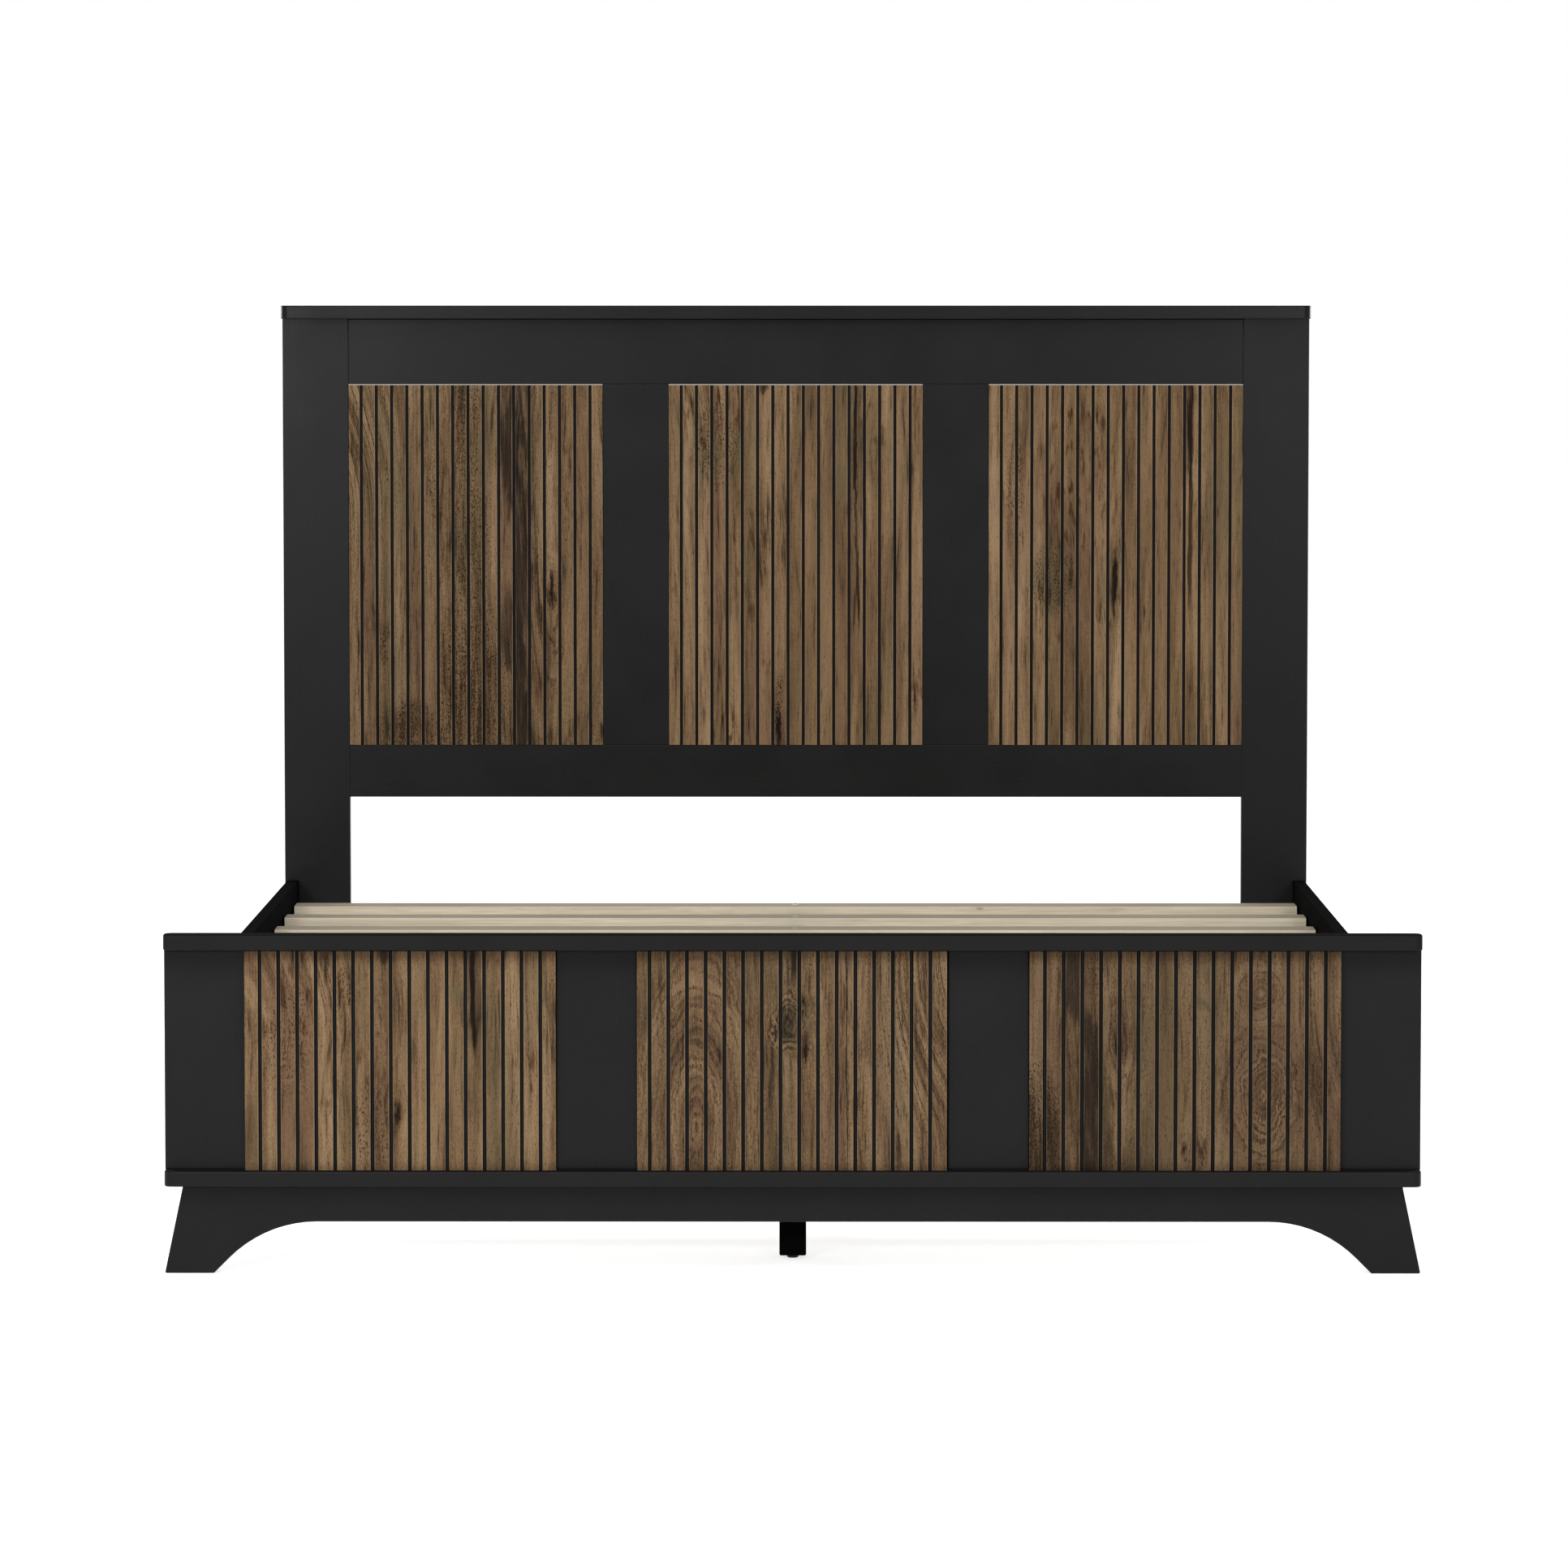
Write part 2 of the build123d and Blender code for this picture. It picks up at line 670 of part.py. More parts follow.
# Levelling feet: a tapered pad on a stud that screws up into the leg.
for number, row in enumerate(leg_rows, 1):
    with BuildPart() as leveller:
        with BuildSketch(Plane((0, row, 0), x_dir=(1, 0, 0), z_dir=(0, -1, 0))):
            with BuildLine():
                Polyline(
                    (0, 0),
                    (leveller_sole_radius, 0),
                    (leveller_pad_radius, leveller_pad_height - leveller_rim_height),
                    (leveller_pad_radius, leveller_pad_height),
                    (leveller_stud_radius, leveller_pad_height),
                    (leveller_stud_radius, leveller_pad_height + leveller_stud_length),
                    (0, leveller_pad_height + leveller_stud_length),
                    close=True,
                )
            make_face()
        revolve(axis=Axis((0, row, 0), (0, 0, 1)))
    save(leveller, f"leveller_{number}")

# ---- Fasteners -----------------------------------------------------------------------------------

# Flat-headed bolt with a hexagon socket.
with BuildPart() as rail_bolt:
    Cylinder(
        rail_bolt_radius, rail_bolt_length, align=(Align.CENTER, Align.CENTER, Align.MAX)
    )
    Cylinder(
        rail_bolt_head_radius,
        rail_bolt_head_height,
        align=(Align.CENTER, Align.CENTER, Align.MIN),
    )
    fillet(rail_bolt.faces().sort_by(Axis.Z)[-1].edges(), rail_bolt_head_height / 3)
    with BuildSketch(Plane.XY.offset(rail_bolt_head_height)):
        RegularPolygon(hex_socket_radius, 6)
    extrude(amount=-hex_socket_depth, mode=Mode.SUBTRACT)

with BuildPart() as rail_bolts:
    with Locations(*head_bolt_seats, *foot_bolt_seats):
        add(rail_bolt.part)
save(rail_bolts, "rail_bolts")

# Barrel nuts across the rail ends, tapped for the head-end bolts.
with BuildPart() as barrel_nuts:
    nut_middle = side_rail_thickness / 2
    with Locations(*[mouth.offset(-nut_middle) for mouth in barrel_nut_mouths]):
        Cylinder(barrel_nut_radius, barrel_nut_length)
    with Locations(*head_bolt_seats):
        Hole(rail_bolt_radius + hole_clearance, rail_bolt_length + dowel_end_room)
save(barrel_nuts, "barrel_nuts")

# Threaded inserts in the rails' inner faces and in the tops of the centre legs.
with BuildPart() as threaded_inserts:
    with Locations(*rail_insert_mouths, *leg_insert_mouths):
        Cylinder(
            insert_radius, insert_length, align=(Align.CENTER, Align.CENTER, Align.MAX)
        )
        Hole(rail_bolt_radius + hole_clearance, insert_length)
save(threaded_inserts, "threaded_inserts")

# Larger inserts in the feet of the centre legs.
with BuildPart() as leveller_inserts:
    with Locations(*leveller_mouths):
        Cylinder(
            leveller_insert_radius,
            leveller_insert_length,
            align=(Align.CENTER, Align.CENTER, Align.MAX),
        )
        Hole(leveller_stud_radius + leveller_stud_clearance, leveller_insert_length)
save(leveller_inserts, "leveller_inserts")

# Dome-headed bolts through a slat and the centre rail into each leg.
dome_sphere_radius = (leg_bolt_head_radius**2 + leg_bolt_head_height**2) / (
    2 * leg_bolt_head_height
)
with BuildPart() as leg_bolt:
    with BuildSketch(Plane.XZ):
        with BuildLine():
            Polyline(
                (0, leg_bolt_head_height),
                (0, -leg_bolt_length),
                (rail_bolt_radius, -leg_bolt_length),
                (rail_bolt_radius, 0),
                (leg_bolt_head_radius, 0),
            )
            RadiusArc((leg_bolt_head_radius, 0), (0, leg_bolt_head_height), -dome_sphere_radius)
        make_face()
    revolve(axis=Axis.Z)

with BuildPart() as leg_bolts:
    with Locations(*leg_bolt_seats):
        add(leg_bolt.part)
save(leg_bolts, "leg_bolts")


def wood_screw(length):
    """A countersunk screw with a cross recess, its head level with z = 0."""
    sink = screw_head_radius - screw_radius
    with BuildPart() as screw:
        with BuildSketch(Plane.XZ):
            with BuildLine():
                Polyline(
                    (0, 0),
                    (screw_head_radius, 0),
                    (screw_radius, -sink),
                    (screw_radius, screw_tip_length - length),
                    (screw_tip_radius, -length),
                    (0, -length),
                    close=True,
                )
            make_face()
        revolve(axis=Axis.Z)
        with BuildSketch():
            Rectangle(screw_recess_span, screw_recess_width)
            Rectangle(screw_recess_width, screw_recess_span)
        extrude(amount=-screw_recess_depth, mode=Mode.SUBTRACT)
    return screw


# Screws through the slats into the ledgers and the centre rail.
short_screw = wood_screw(screw_length)
with BuildPart() as slat_screws:
    with Locations(*slat_screw_seats):
        add(short_screw.part)
save(slat_screws, "slat_screws")

# Screws through the ledgers into the side rails.
with BuildPart() as ledger_screws:
    with Locations(*ledger_screw_seats):
        add(short_screw.part)
save(ledger_screws, "ledger_screws")

# Longer screws through the corner blocks into the footboard.
long_screw = wood_screw(block_screw_length)
with BuildPart() as corner_block_screws:
    with Locations(*block_screw_seats):
        add(long_screw.part)
save(corner_block_screws, "corner_block_screws")
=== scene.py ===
import math

import bpy
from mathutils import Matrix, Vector


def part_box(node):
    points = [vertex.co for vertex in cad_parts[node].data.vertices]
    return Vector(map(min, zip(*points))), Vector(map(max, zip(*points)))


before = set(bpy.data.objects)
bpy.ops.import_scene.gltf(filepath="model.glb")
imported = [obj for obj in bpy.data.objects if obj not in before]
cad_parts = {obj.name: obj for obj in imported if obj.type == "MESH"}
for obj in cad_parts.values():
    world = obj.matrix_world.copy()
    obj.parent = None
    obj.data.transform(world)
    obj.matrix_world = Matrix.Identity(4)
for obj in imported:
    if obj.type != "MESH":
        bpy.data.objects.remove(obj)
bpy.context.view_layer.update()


# ---------------------------------------------------------------------------------------------
# Headboard frame: posts, rails, stiles and the cap that lies along their tops. The real boards
# are dense fibreboard, routed with a small round on every arris and sprayed in satin black. The
# spray shows a faint orange peel, and the arrises are paler, partly where it lies thin and partly
# as a painted highlight.
# ---------------------------------------------------------------------------------------------
class Finish:
    """A surface finish, built up in layers as at the bench: each method adds one step and hands it on."""

    def __init__(self, name):
        self.material = bpy.data.materials.new(name)
        self.material.use_nodes = True
        self.nodes = self.material.node_tree.nodes
        self.links = self.material.node_tree.links
        self.nodes.clear()
        self.place = self.step("ShaderNodeTexCoord").outputs["Object"]

    def step(self, kind, feeds=None, **settings):
        """Adds a node. feeds gives its inputs, by name or number, a value or another node's output."""
        node = self.nodes.new(kind)
        for name, value in settings.items():
            setattr(node, name, value)
        for socket, value in (feeds or {}).items():
            if isinstance(value, bpy.types.NodeSocket):
                self.links.new(value, node.inputs[socket])
            else:
                node.inputs[socket].default_value = value
        return node

    def math(self, operation, *values):
        return self.step("ShaderNodeMath", dict(enumerate(values)), operation=operation).outputs[0]

    def vector(self, operation, *values):
        return self.step("ShaderNodeVectorMath", dict(enumerate(values)), operation=operation).outputs[0]

    def split(self, vector):
        return self.step("ShaderNodeSeparateXYZ", {0: vector}).outputs

    def join(self, x, y, z):
        return self.step("ShaderNodeCombineXYZ", {0: x, 1: y, 2: z}).outputs[0]

    def facing(self):
        """How squarely the surface looks to the right, to the back and up, each from -1 to 1."""
        return self.split(self.step("ShaderNodeNewGeometry").outputs["Normal"])

    def cloud(self, point, per_metre, detail=2.0, roughness=0.5):
        """Soft random mottle from 0 to 1, with so many lumps per metre along each axis."""
        stretched = self.vector("MULTIPLY", point, per_metre)
        feeds = {"Vector": stretched, "Scale": 1.0, "Detail": detail, "Roughness": roughness}
        return self.step("ShaderNodeTexNoise", feeds).outputs[0]

    def nudge(self, value, mottle, reach):
        """Moves a place or a tone by a random mottle, by up to half of reach each way."""
        return self.math("MULTIPLY_ADD", self.math("SUBTRACT", mottle, 0.5), reach, value)

    def ease(self, value, start, stop, low=0.0, high=1.0):
        """Goes smoothly from low, at start, to high, at stop."""
        feeds = {0: value, 1: start, 2: stop, 3: low, 4: high}
        return self.step("ShaderNodeMapRange", feeds, interpolation_type="SMOOTHSTEP").outputs[0]

    def blend(self, share, first, second):
        """The first colour, with that share of the second over it."""
        feeds = {0: share, 6: first, 7: second}
        return self.step("ShaderNodeMix", feeds, data_type="RGBA").outputs[2]

    def ramp(self, value, *stops):
        """The colour for a value, between stops that each give a value and its colour."""
        node = self.step("ShaderNodeValToRGB", {0: value})
        elements = node.color_ramp.elements
        for spare in stops[2:]:
            elements.new(spare[0])
        for element, (place, colour) in zip(elements, stops):
            element.position = place
            element.color = colour
        return node.outputs[0]

    def near_arrises(self, node_name, width):
        """1 along the arrises of a board, falling to 0 at that width in from them."""
        low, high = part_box(node_name)
        middle, half = (low + high) / 2, (high - low) / 2
        from_middle = self.vector("ABSOLUTE", self.vector("SUBTRACT", self.place, middle))
        x, y, z = self.split(self.vector("SUBTRACT", half, from_middle))
        nearest_two = self.math("MINIMUM", self.math("MAXIMUM", x, y), z)
        second = self.math("MAXIMUM", self.math("MINIMUM", x, y), nearest_two)
        return self.ease(second, width, width * 0.35)

    def surface(self, colour, roughness, relief, depth, gloss=0.5, metallic=0.0):
        """Ends the finish. A relief of 1 stands as high as depth, in metres."""
        bump = self.step("ShaderNodeBump", {"Strength": 1.0, "Distance": depth, "Height": relief})
        feeds = {"Base Color": colour, "Roughness": roughness, "Normal": bump.outputs[0],
                 "Specular IOR Level": gloss, "Metallic": metallic}
        shader = self.step("ShaderNodeBsdfPrincipled", feeds)
        self.step("ShaderNodeOutputMaterial", {0: shader.outputs[0]})
        return self.material


def grey(level, warmth=1.0):
    """A grey of that level, its red raised and its blue lowered by warmth."""
    return (level * warmth, level, level / warmth, 1.0)


def dress(node_name, material):
    """Gives a frame part its finish, on every slot that it has."""
    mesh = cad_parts[node_name].data
    for index in range(len(mesh.materials)):
        mesh.materials[index] = material


satin_black = 0.0099
rubbed_and_highlit_black = 0.018
paint_roughness = 0.29
paint_gloss = 0.068

# Shares of a board's own level: on its top, darker as a painted shade; on its back, paler as a
# painted light along the grain; and in a joint or under an overhang, as a painted shade.
shaded_top_level = 0.25
lit_back_level = (1.7, 2.5)
painted_shade_level = 0.02

# Metres, and for the brush of grain lumps per metre across a board and along it.
arris_width = 0.0016
joint_shade_reach = 0.0024
overhang_shade_reach = 0.045
peel_height = 0.00006
brush_across = 260.0
brush_along = 7.0

# How squarely a face has to look some way to begin to count as such, and to count in full.
turning = (0.2, 0.9)


def clouded_black(paint, mottle, level):
    """Black at that level, a little deeper and a little paler in soft clouds."""
    deeper = grey(level * 0.94, 1.01)
    paler = grey(level * 1.06, 0.995)
    return paint.blend(paint.ease(mottle, 0.3, 0.7), deeper, paler)


def black_painted(node_name, level=satin_black, arris_level=rubbed_and_highlit_black, dull=paint_roughness,
                  gloss=paint_gloss, joints=(), overhang=None, outside=None):
    """Satin black spray on one board, its faint brush of grain running along the board's length.

    level says how pale the faces are and the arris level how pale the arrises are, these paler partly
    where the spray lies thin and partly as a painted highlight, and outside how pale the face that looks
    away from the bed is. dull is the paint's roughness and gloss the strength of what it mirrors. joints
    are the heights at which other boards meet this one, and overhang is the height of the underside of
    a board that stands out over it; along the joints and below the overhang the paint is darkened as a
    painted shade.
    """
    low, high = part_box(node_name)
    longest = max(range(3), key=lambda axis: high[axis] - low[axis])
    brush = [brush_across, brush_across, brush_across]
    brush[longest] = brush_along
    paint = Finish("black_paint_" + node_name)
    mottle = paint.cloud(paint.place, (9.0, 9.0, 9.0), detail=3.0)
    grain = paint.cloud(paint.place, brush, detail=3.0, roughness=0.6)
    peel = paint.cloud(paint.place, (720.0, 720.0, 720.0), detail=1.0)

    # Arrises drawn paler, partly where the spray lies thin and partly as a painted highlight.
    patchy = paint.ease(mottle, 0.25, 0.6, 0.55, 1.0)
    worn_and_highlit = paint.math("MULTIPLY", paint.near_arrises(node_name, arris_width), patchy)
    colour = paint.blend(worn_and_highlit, clouded_black(paint, mottle, level), grey(arris_level))
    facing_side, facing_back, facing_up = paint.facing()
    # Faces that look up are drawn darker: a painted shade.
    colour = paint.blend(paint.ease(facing_up, *turning), colour, grey(level * shaded_top_level))
    # Faces that look back are drawn paler, unevenly along the grain: a painted light.
    deep, thin = grey(level * lit_back_level[0], 1.01), grey(level * lit_back_level[1], 1.02)
    painted_back_light = paint.blend(paint.ease(grain, 0.35, 0.65), deep, thin)
    colour = paint.blend(paint.ease(facing_back, *turning), colour, painted_back_light)
    if outside:
        outwards = paint.math("MULTIPLY", facing_side, math.copysign(1.0, low.x))
        colour = paint.blend(paint.ease(outwards, *turning), colour, clouded_black(paint, mottle, outside))
    height = paint.split(paint.place)[2]
    # The near-black below is a painted shade, laid below an overhang and along each joint.
    bare = grey(level * painted_shade_level)
    if overhang:
        shade = paint.ease(height, overhang - overhang_shade_reach, overhang, 0.0, 0.30)
        colour = paint.blend(shade, colour, bare)
    for joint in joints:
        from_joint = paint.math("ABSOLUTE", paint.math("SUBTRACT", height, joint))
        colour = paint.blend(paint.ease(from_joint, joint_shade_reach, 0.0, 0.0, 0.95), colour, bare)

    dusty = paint.ease(facing_up, *turning, dull, 1.0)
    shine = paint.math("ADD", paint.ease(mottle, 0.3, 0.7, -0.05, 0.0), dusty)
    shine = paint.math("MULTIPLY_ADD", grain, 0.05, shine)
    relief = paint.math("MULTIPLY_ADD", grain, 0.6, paint.math("MULTIPLY", peel, 0.4))
    dress(node_name, paint.surface(colour, shine, relief, peel_height, gloss))


under_head_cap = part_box("headboard_cap")[0].z
for board in ("post_left", "post_right", "top_rail", "lower_rail", "stile_left", "stile_right"):
    black_painted("headboard_" + board, joints=(under_head_cap,), overhang=under_head_cap)
black_painted("headboard_cap")


# ---------------------------------------------------------------------------------------------
# Headboard panels: three boards faced in a weathered brown oak, each grooved from top to bottom
# with a narrow cutter and the grooves painted black, so that it looks like a row of strips. The
# grain runs on from strip to strip, and the top edge is bevelled back to bare core, drawn pale
# here as a painted highlight where the bevel catches the light.
# ---------------------------------------------------------------------------------------------
groove_pitch = 0.024
groove_width = 0.0043
groove_count = 16
bevel = 0.0018
core_end = bevel + 0.0001

# The grooves' paint starts below the bevel and laps over the edges; paler along the middle, a painted
# light.
paint_start = bevel + 0.0002
lap_full = 0.00018
lap_end = 0.00038
paint_edge_depth = 0.00035
paint_full_depth = 0.0007
middle_full = 0.0004
middle_end = 0.0013

# How far from a groove's edge an arris is paler in full, and how far that reaches: partly wear and
# partly a painted highlight.
pale_arris_in_full = 0.0006
pale_left_arris = 0.0014
pale_right_arris = 0.0016

# How far the painted shade reaches from the cap and from the ledge.
shade_under_cap = 0.022
shade_over_ledge = 0.016

# A tree for each seed and one cut for all fibres, the rings round a small branch, and the relief.
trees_apart = 3.7
fibre_cut = 5.3
rings_squeezed = 1.6
ring_spacing = 0.0085
wood_relief = 0.0003

# A streak wider than this many strips is smoke, and a narrower one is a split.
smoke_width = 0.5

oak_dark = (0.050, 0.0300, 0.0165, 1.0)
oak_brown = (0.112, 0.068, 0.0360, 1.0)
oak_tan = (0.170, 0.107, 0.058, 1.0)
oak_pale = (0.270, 0.185, 0.112, 1.0)
oak_olive = (0.100, 0.078, 0.042, 1.0)
oak_pink = (0.165, 0.096, 0.060, 1.0)
pore_black = (0.024, 0.0130, 0.0060, 1.0)
smoke_stain = (0.130, 0.138, 0.165, 1.0)
split_stain = (0.080, 0.060, 0.045, 1.0)
rust_stain = (0.340, 0.230, 0.150, 1.0)
gnarl = (0.055, 0.044, 0.028, 1.0)
knot_stain = (0.085, 0.060, 0.050, 1.0)
halo_stain = (0.50, 0.45, 0.40, 1.0)
groove_black = (0.0028, 0.0030, 0.0033, 1.0)
lit_groove_middle = (0.0080, 0.0084, 0.0090, 1.0)
lit_bare_core = (0.330, 0.300, 0.262, 1.0)


class GroovedOak(Finish):
    """The oak face of one panel. Marks are placed by strip, counted from the left, and by share down."""

    def __init__(self, node_name, seed, groove_shift=0.0):
        super().__init__("grooved_oak_" + node_name)
        self.node_name = node_name
        self.low, self.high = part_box(node_name)
        self.height = self.high.z - self.low.z
        middle = (self.low.x + self.high.x) / 2 + groove_shift
        self.first_groove = middle - (groove_count - 1) / 2 * groove_pitch
        self.x, self.y, up = self.split(self.place)
        self.down = self.math("SUBTRACT", self.high.z, up)
        self.tree = seed * trees_apart
        still = self.join(self.x, self.down, self.tree)
        drift = self.cloud(still, (6.0, 2.2, 1.0), detail=2.0)
        self.across = self.nudge(self.x, drift, 0.035)
        self.straight = self.across
        smoke = self.cloud(still, (48.0, 15.0, 1.0), detail=3.0, roughness=0.55)
        self.smoky_x = self.nudge(self.x, smoke, 0.030)
        self.smoky_down = self.nudge(self.down, self.cloud(still, (49.0, 16.0, 2.3), detail=3.0), 0.060)
        frayed = self.cloud(still, (300.0, 60.0, 3.1), detail=3.0, roughness=0.65)
        self.frayed_x = self.nudge(self.nudge(self.x, smoke, 0.008), frayed, 0.012)
        self.frayed_down = self.nudge(self.down, frayed, 0.070)
        self.fine_x = self.nudge(self.nudge(self.x, smoke, 0.006), frayed, 0.0030)
        self.eddies = []

    def at(self, strip, down):
        """Where a strip and a share of the height are, in metres across and down."""
        return self.first_groove + (strip - 1.5) * groove_pitch, down * self.height

    def length(self, x, y):
        flat = {0: self.join(x, y, 0.0)}
        return self.step("ShaderNodeVectorMath", flat, operation="LENGTH").outputs["Value"]

    def mixed(self, share, outside, inside):
        return self.step("ShaderNodeMix", {0: share, 2: outside, 3: inside}).outputs[0]

    def stained(self, share, colour, stain):
        """Lets a dark stain into the wood, so that the grain still shows through it."""
        feeds = {0: share, 6: colour, 7: stain}
        return self.step("ShaderNodeMix", feeds, data_type="RGBA", blend_type="MULTIPLY").outputs[2]

    def spot(self, strip, down, strips, share, core=0.0, edge="smoky"):
        """1 inside an oval that reaches so many strips and such a share of the height, 0 outside it."""
        mark_x, mark_down = self.at(strip, down)
        edges = {"clean": (self.x, self.down), "smoky": (self.smoky_x, self.smoky_down),
                 "frayed": (self.frayed_x, self.frayed_down)}
        place_x, place_down = edges[edge]
        aside = self.math("DIVIDE", self.math("SUBTRACT", place_x, mark_x), strips * groove_pitch)
        below = self.math("DIVIDE", self.math("SUBTRACT", place_down, mark_down), share * self.height)
        return self.ease(self.length(aside, below), 1.0, core)

    def spots(self, marks, core=0.0):
        """The strongest of several spots, each with its amount last."""
        strongest = 0.0
        for strip, down, strips, share, amount in marks:
            mark = self.math("MULTIPLY", self.spot(strip, down, strips, share, core), amount)
            strongest = self.math("MAXIMUM", mark, strongest)
        return strongest

    def leaning(self, still_strip, leant_strip, start, stop, slope):
        """From none at one strip to full at another, the grain leans right by so much a metre down."""
        still_x, start_down = self.at(still_strip, start)
        leant_x, stop_down = self.at(leant_strip, stop)
        shift = slope * (stop_down - start_down)
        if slope * (leant_strip - still_strip) > 0:
            leant = self.ease(self.down, start_down, stop_down, shift, 0.0)
        else:
            leant = self.ease(self.down, start_down, stop_down, 0.0, -shift)
        beside = self.step("ShaderNodeMapRange", {0: self.x, 1: still_x, 2: leant_x}).outputs[0]
        self.across = self.math("MULTIPLY_ADD", leant, beside, self.across)

    def parted(self, strip, down, strips, share, force):
        """The grain parts and flows round a knot."""
        pull = self.math("MULTIPLY", self.spot(strip, down, strips, share, edge="clean"), -force)
        aside = self.math("SUBTRACT", self.x, self.at(strip, down)[0])
        self.across = self.math("MULTIPLY_ADD", aside, pull, self.across)
        self.straight = self.math("MULTIPLY_ADD", aside, pull, self.straight)

    def heart(self, strip, down, closing):
        """Flat-sawn heart: the lines run straight down to a point and close over below it."""
        mark_x, mark_down = self.at(strip, down)
        past = self.math("MAXIMUM", self.math("SUBTRACT", self.down, mark_down), 0.0)
        beside = self.math("SUBTRACT", self.across, mark_x)
        radius = self.length(beside, self.math("MULTIPLY", past, closing))
        self.across = self.math("ADD", radius, mark_x)
        self.tree = self.math("ADD", self.ease(beside, -0.02, 0.02, 0.0, 1.7), self.tree)

    def eddy(self, strip, down, strips, share, twist=0.012):
        """The lines close round a point, as they do where a small branch was."""
        mark_x, mark_down = self.at(strip, down)
        squeeze = strips * groove_pitch / (share * self.height)
        below = self.math("MULTIPLY", self.math("SUBTRACT", self.down, mark_down), squeeze)
        radius = self.length(self.math("SUBTRACT", self.x, mark_x), below)
        ragged = self.cloud(self.join(self.x, self.down, strip), (38.0, 30.0, 1.0), detail=3.0)
        radius = self.math("MULTIPLY", self.nudge(radius, ragged, twist * 2), rings_squeezed)
        self.eddies.append((self.spot(strip, down, strips, share, 0.55), radius, strip))

    def figured(self, across, tree):
        """The broad bands, the plumes and the uneven growth at a place across the tree."""
        figure = self.join(across, self.down, tree)
        bands = self.cloud(figure, (26.0, 1.4, 1.0), detail=2.0)
        plumes = self.cloud(figure, (80.0, 6.0, 1.0), detail=3.0, roughness=0.55)
        growth = self.cloud(figure, (140.0, 2.2, 3.0), detail=2.0)
        return bands, plumes, growth

    def year_rings(self, radius, growth):
        """Rings a few millimetres apart round a branch, some of them stronger."""
        wave = self.math("SINE", self.math("MULTIPLY", radius, math.tau / ring_spacing))
        return self.math("MULTIPLY_ADD", wave, 0.10, self.nudge(0.54, growth, 0.8))

    def streak(self, path, strips):
        """1 along a stain that runs down through the (strip, share down) points of its path."""
        places = [self.at(strip, down) for strip, down in path]
        middle = places[0][0]
        for (from_x, from_down), (to_x, to_down) in zip(places, places[1:]):
            if to_x != from_x:
                aside = self.ease(self.down, from_down, to_down, 0.0, to_x - from_x)
                middle = self.math("ADD", middle, aside)
        place_x = self.smoky_x if strips > smoke_width else self.fine_x
        away = self.math("ABSOLUTE", self.math("SUBTRACT", place_x, middle))
        reach = strips * groove_pitch
        top, bottom = places[0][1], places[-1][1]
        fade = (bottom - top) * 0.3
        from_top = self.ease(self.smoky_down, top, top + fade)
        from_bottom = self.ease(self.smoky_down, bottom, bottom - fade)
        inside = self.ease(away, reach, reach * 0.15)
        return self.math("MULTIPLY", inside, self.math("MULTIPLY", from_top, from_bottom))

    def grow(self, leans, knots, hearts, eddies):
        """Bends the grain: it leans, parts round knots and closes over hearts and small branches."""
        for lean in leans:
            self.leaning(*lean)
        for strip, down, strips, share, dark in knots:
            self.parted(strip, down, strips * 2.5 + 0.5, share * 2.2, 0.7 * dark)
        for heart in hearts:
            self.heart(*heart)
        for eddy in eddies:
            self.eddy(*eddy)

    def saw(self, lines, crisp):
        """Opens up the figure, the rings and the fibres, and adds them up to a tone from dark to pale."""
        self.figure = self.join(self.across, self.down, self.tree)
        self.lie = self.join(self.straight, self.down, fibre_cut)
        bands, plumes, growth = self.figured(self.across, self.tree)
        rings = self.cloud(self.figure, (300.0, 2.4, 1.0), detail=1.0)
        for share, radius, tree in self.eddies:
            closed_bands, closed_plumes, closed_growth = self.figured(radius, tree)
            bands = self.mixed(share, bands, closed_bands)
            plumes = self.mixed(share, plumes, closed_plumes)
            growth = self.mixed(share, growth, closed_growth)
            rings = self.mixed(share, rings, self.year_rings(radius, closed_growth))
        drawn = self.spots(lines, 0.3)
        rings = self.math("MULTIPLY", self.ease(rings, 0.50, 0.68), self.math("ADD", drawn, 0.12))
        fibres = self.cloud(self.lie, (330.0, 18.0, 1.0), detail=4.0, roughness=0.62)
        grit = self.cloud(self.lie, (1100.0, 300.0, 1.0), detail=1.0)
        sawn = self.cloud(self.lie, (24.0, 600.0, 1.0), detail=1.0)
        tone = 0.5
        for mottle, weight in ((bands, 0.90), (plumes, 0.66), (growth, self.math("MULTIPLY", drawn, 0.45)),
                               (fibres, 0.55 * crisp), (grit, 0.36 * crisp), (sawn, 0.07)):
            tone = self.nudge(tone, mottle, weight)
        self.tone = self.math("MULTIPLY_ADD", rings, -0.16, tone)
        self.rings, self.plumes, self.fibres = rings, plumes, fibres

    def tinted(self, patches):
        """The wood's colour by its tone, cast olive or pink in places, with patches of other oak in it."""
        stops = (0.16, oak_dark), (0.40, oak_brown), (0.52, oak_tan), (0.76, oak_pale)
        colour = self.ramp(self.tone, *stops)
        cast = self.cloud(self.figure, (19.0, 2.6, 1.7), detail=2.0)
        colour = self.blend(self.ease(cast, 0.50, 0.70, 0.0, 0.46), colour, oak_olive)
        colour = self.blend(self.ease(cast, 0.48, 0.30, 0.0, 0.45), colour, oak_pink)
        for strip, down, strips, share, tint, amount in patches:
            spot = self.math("MULTIPLY", self.spot(strip, down, strips, share), amount)
            colour = self.blend(spot, colour, tint)
        return colour

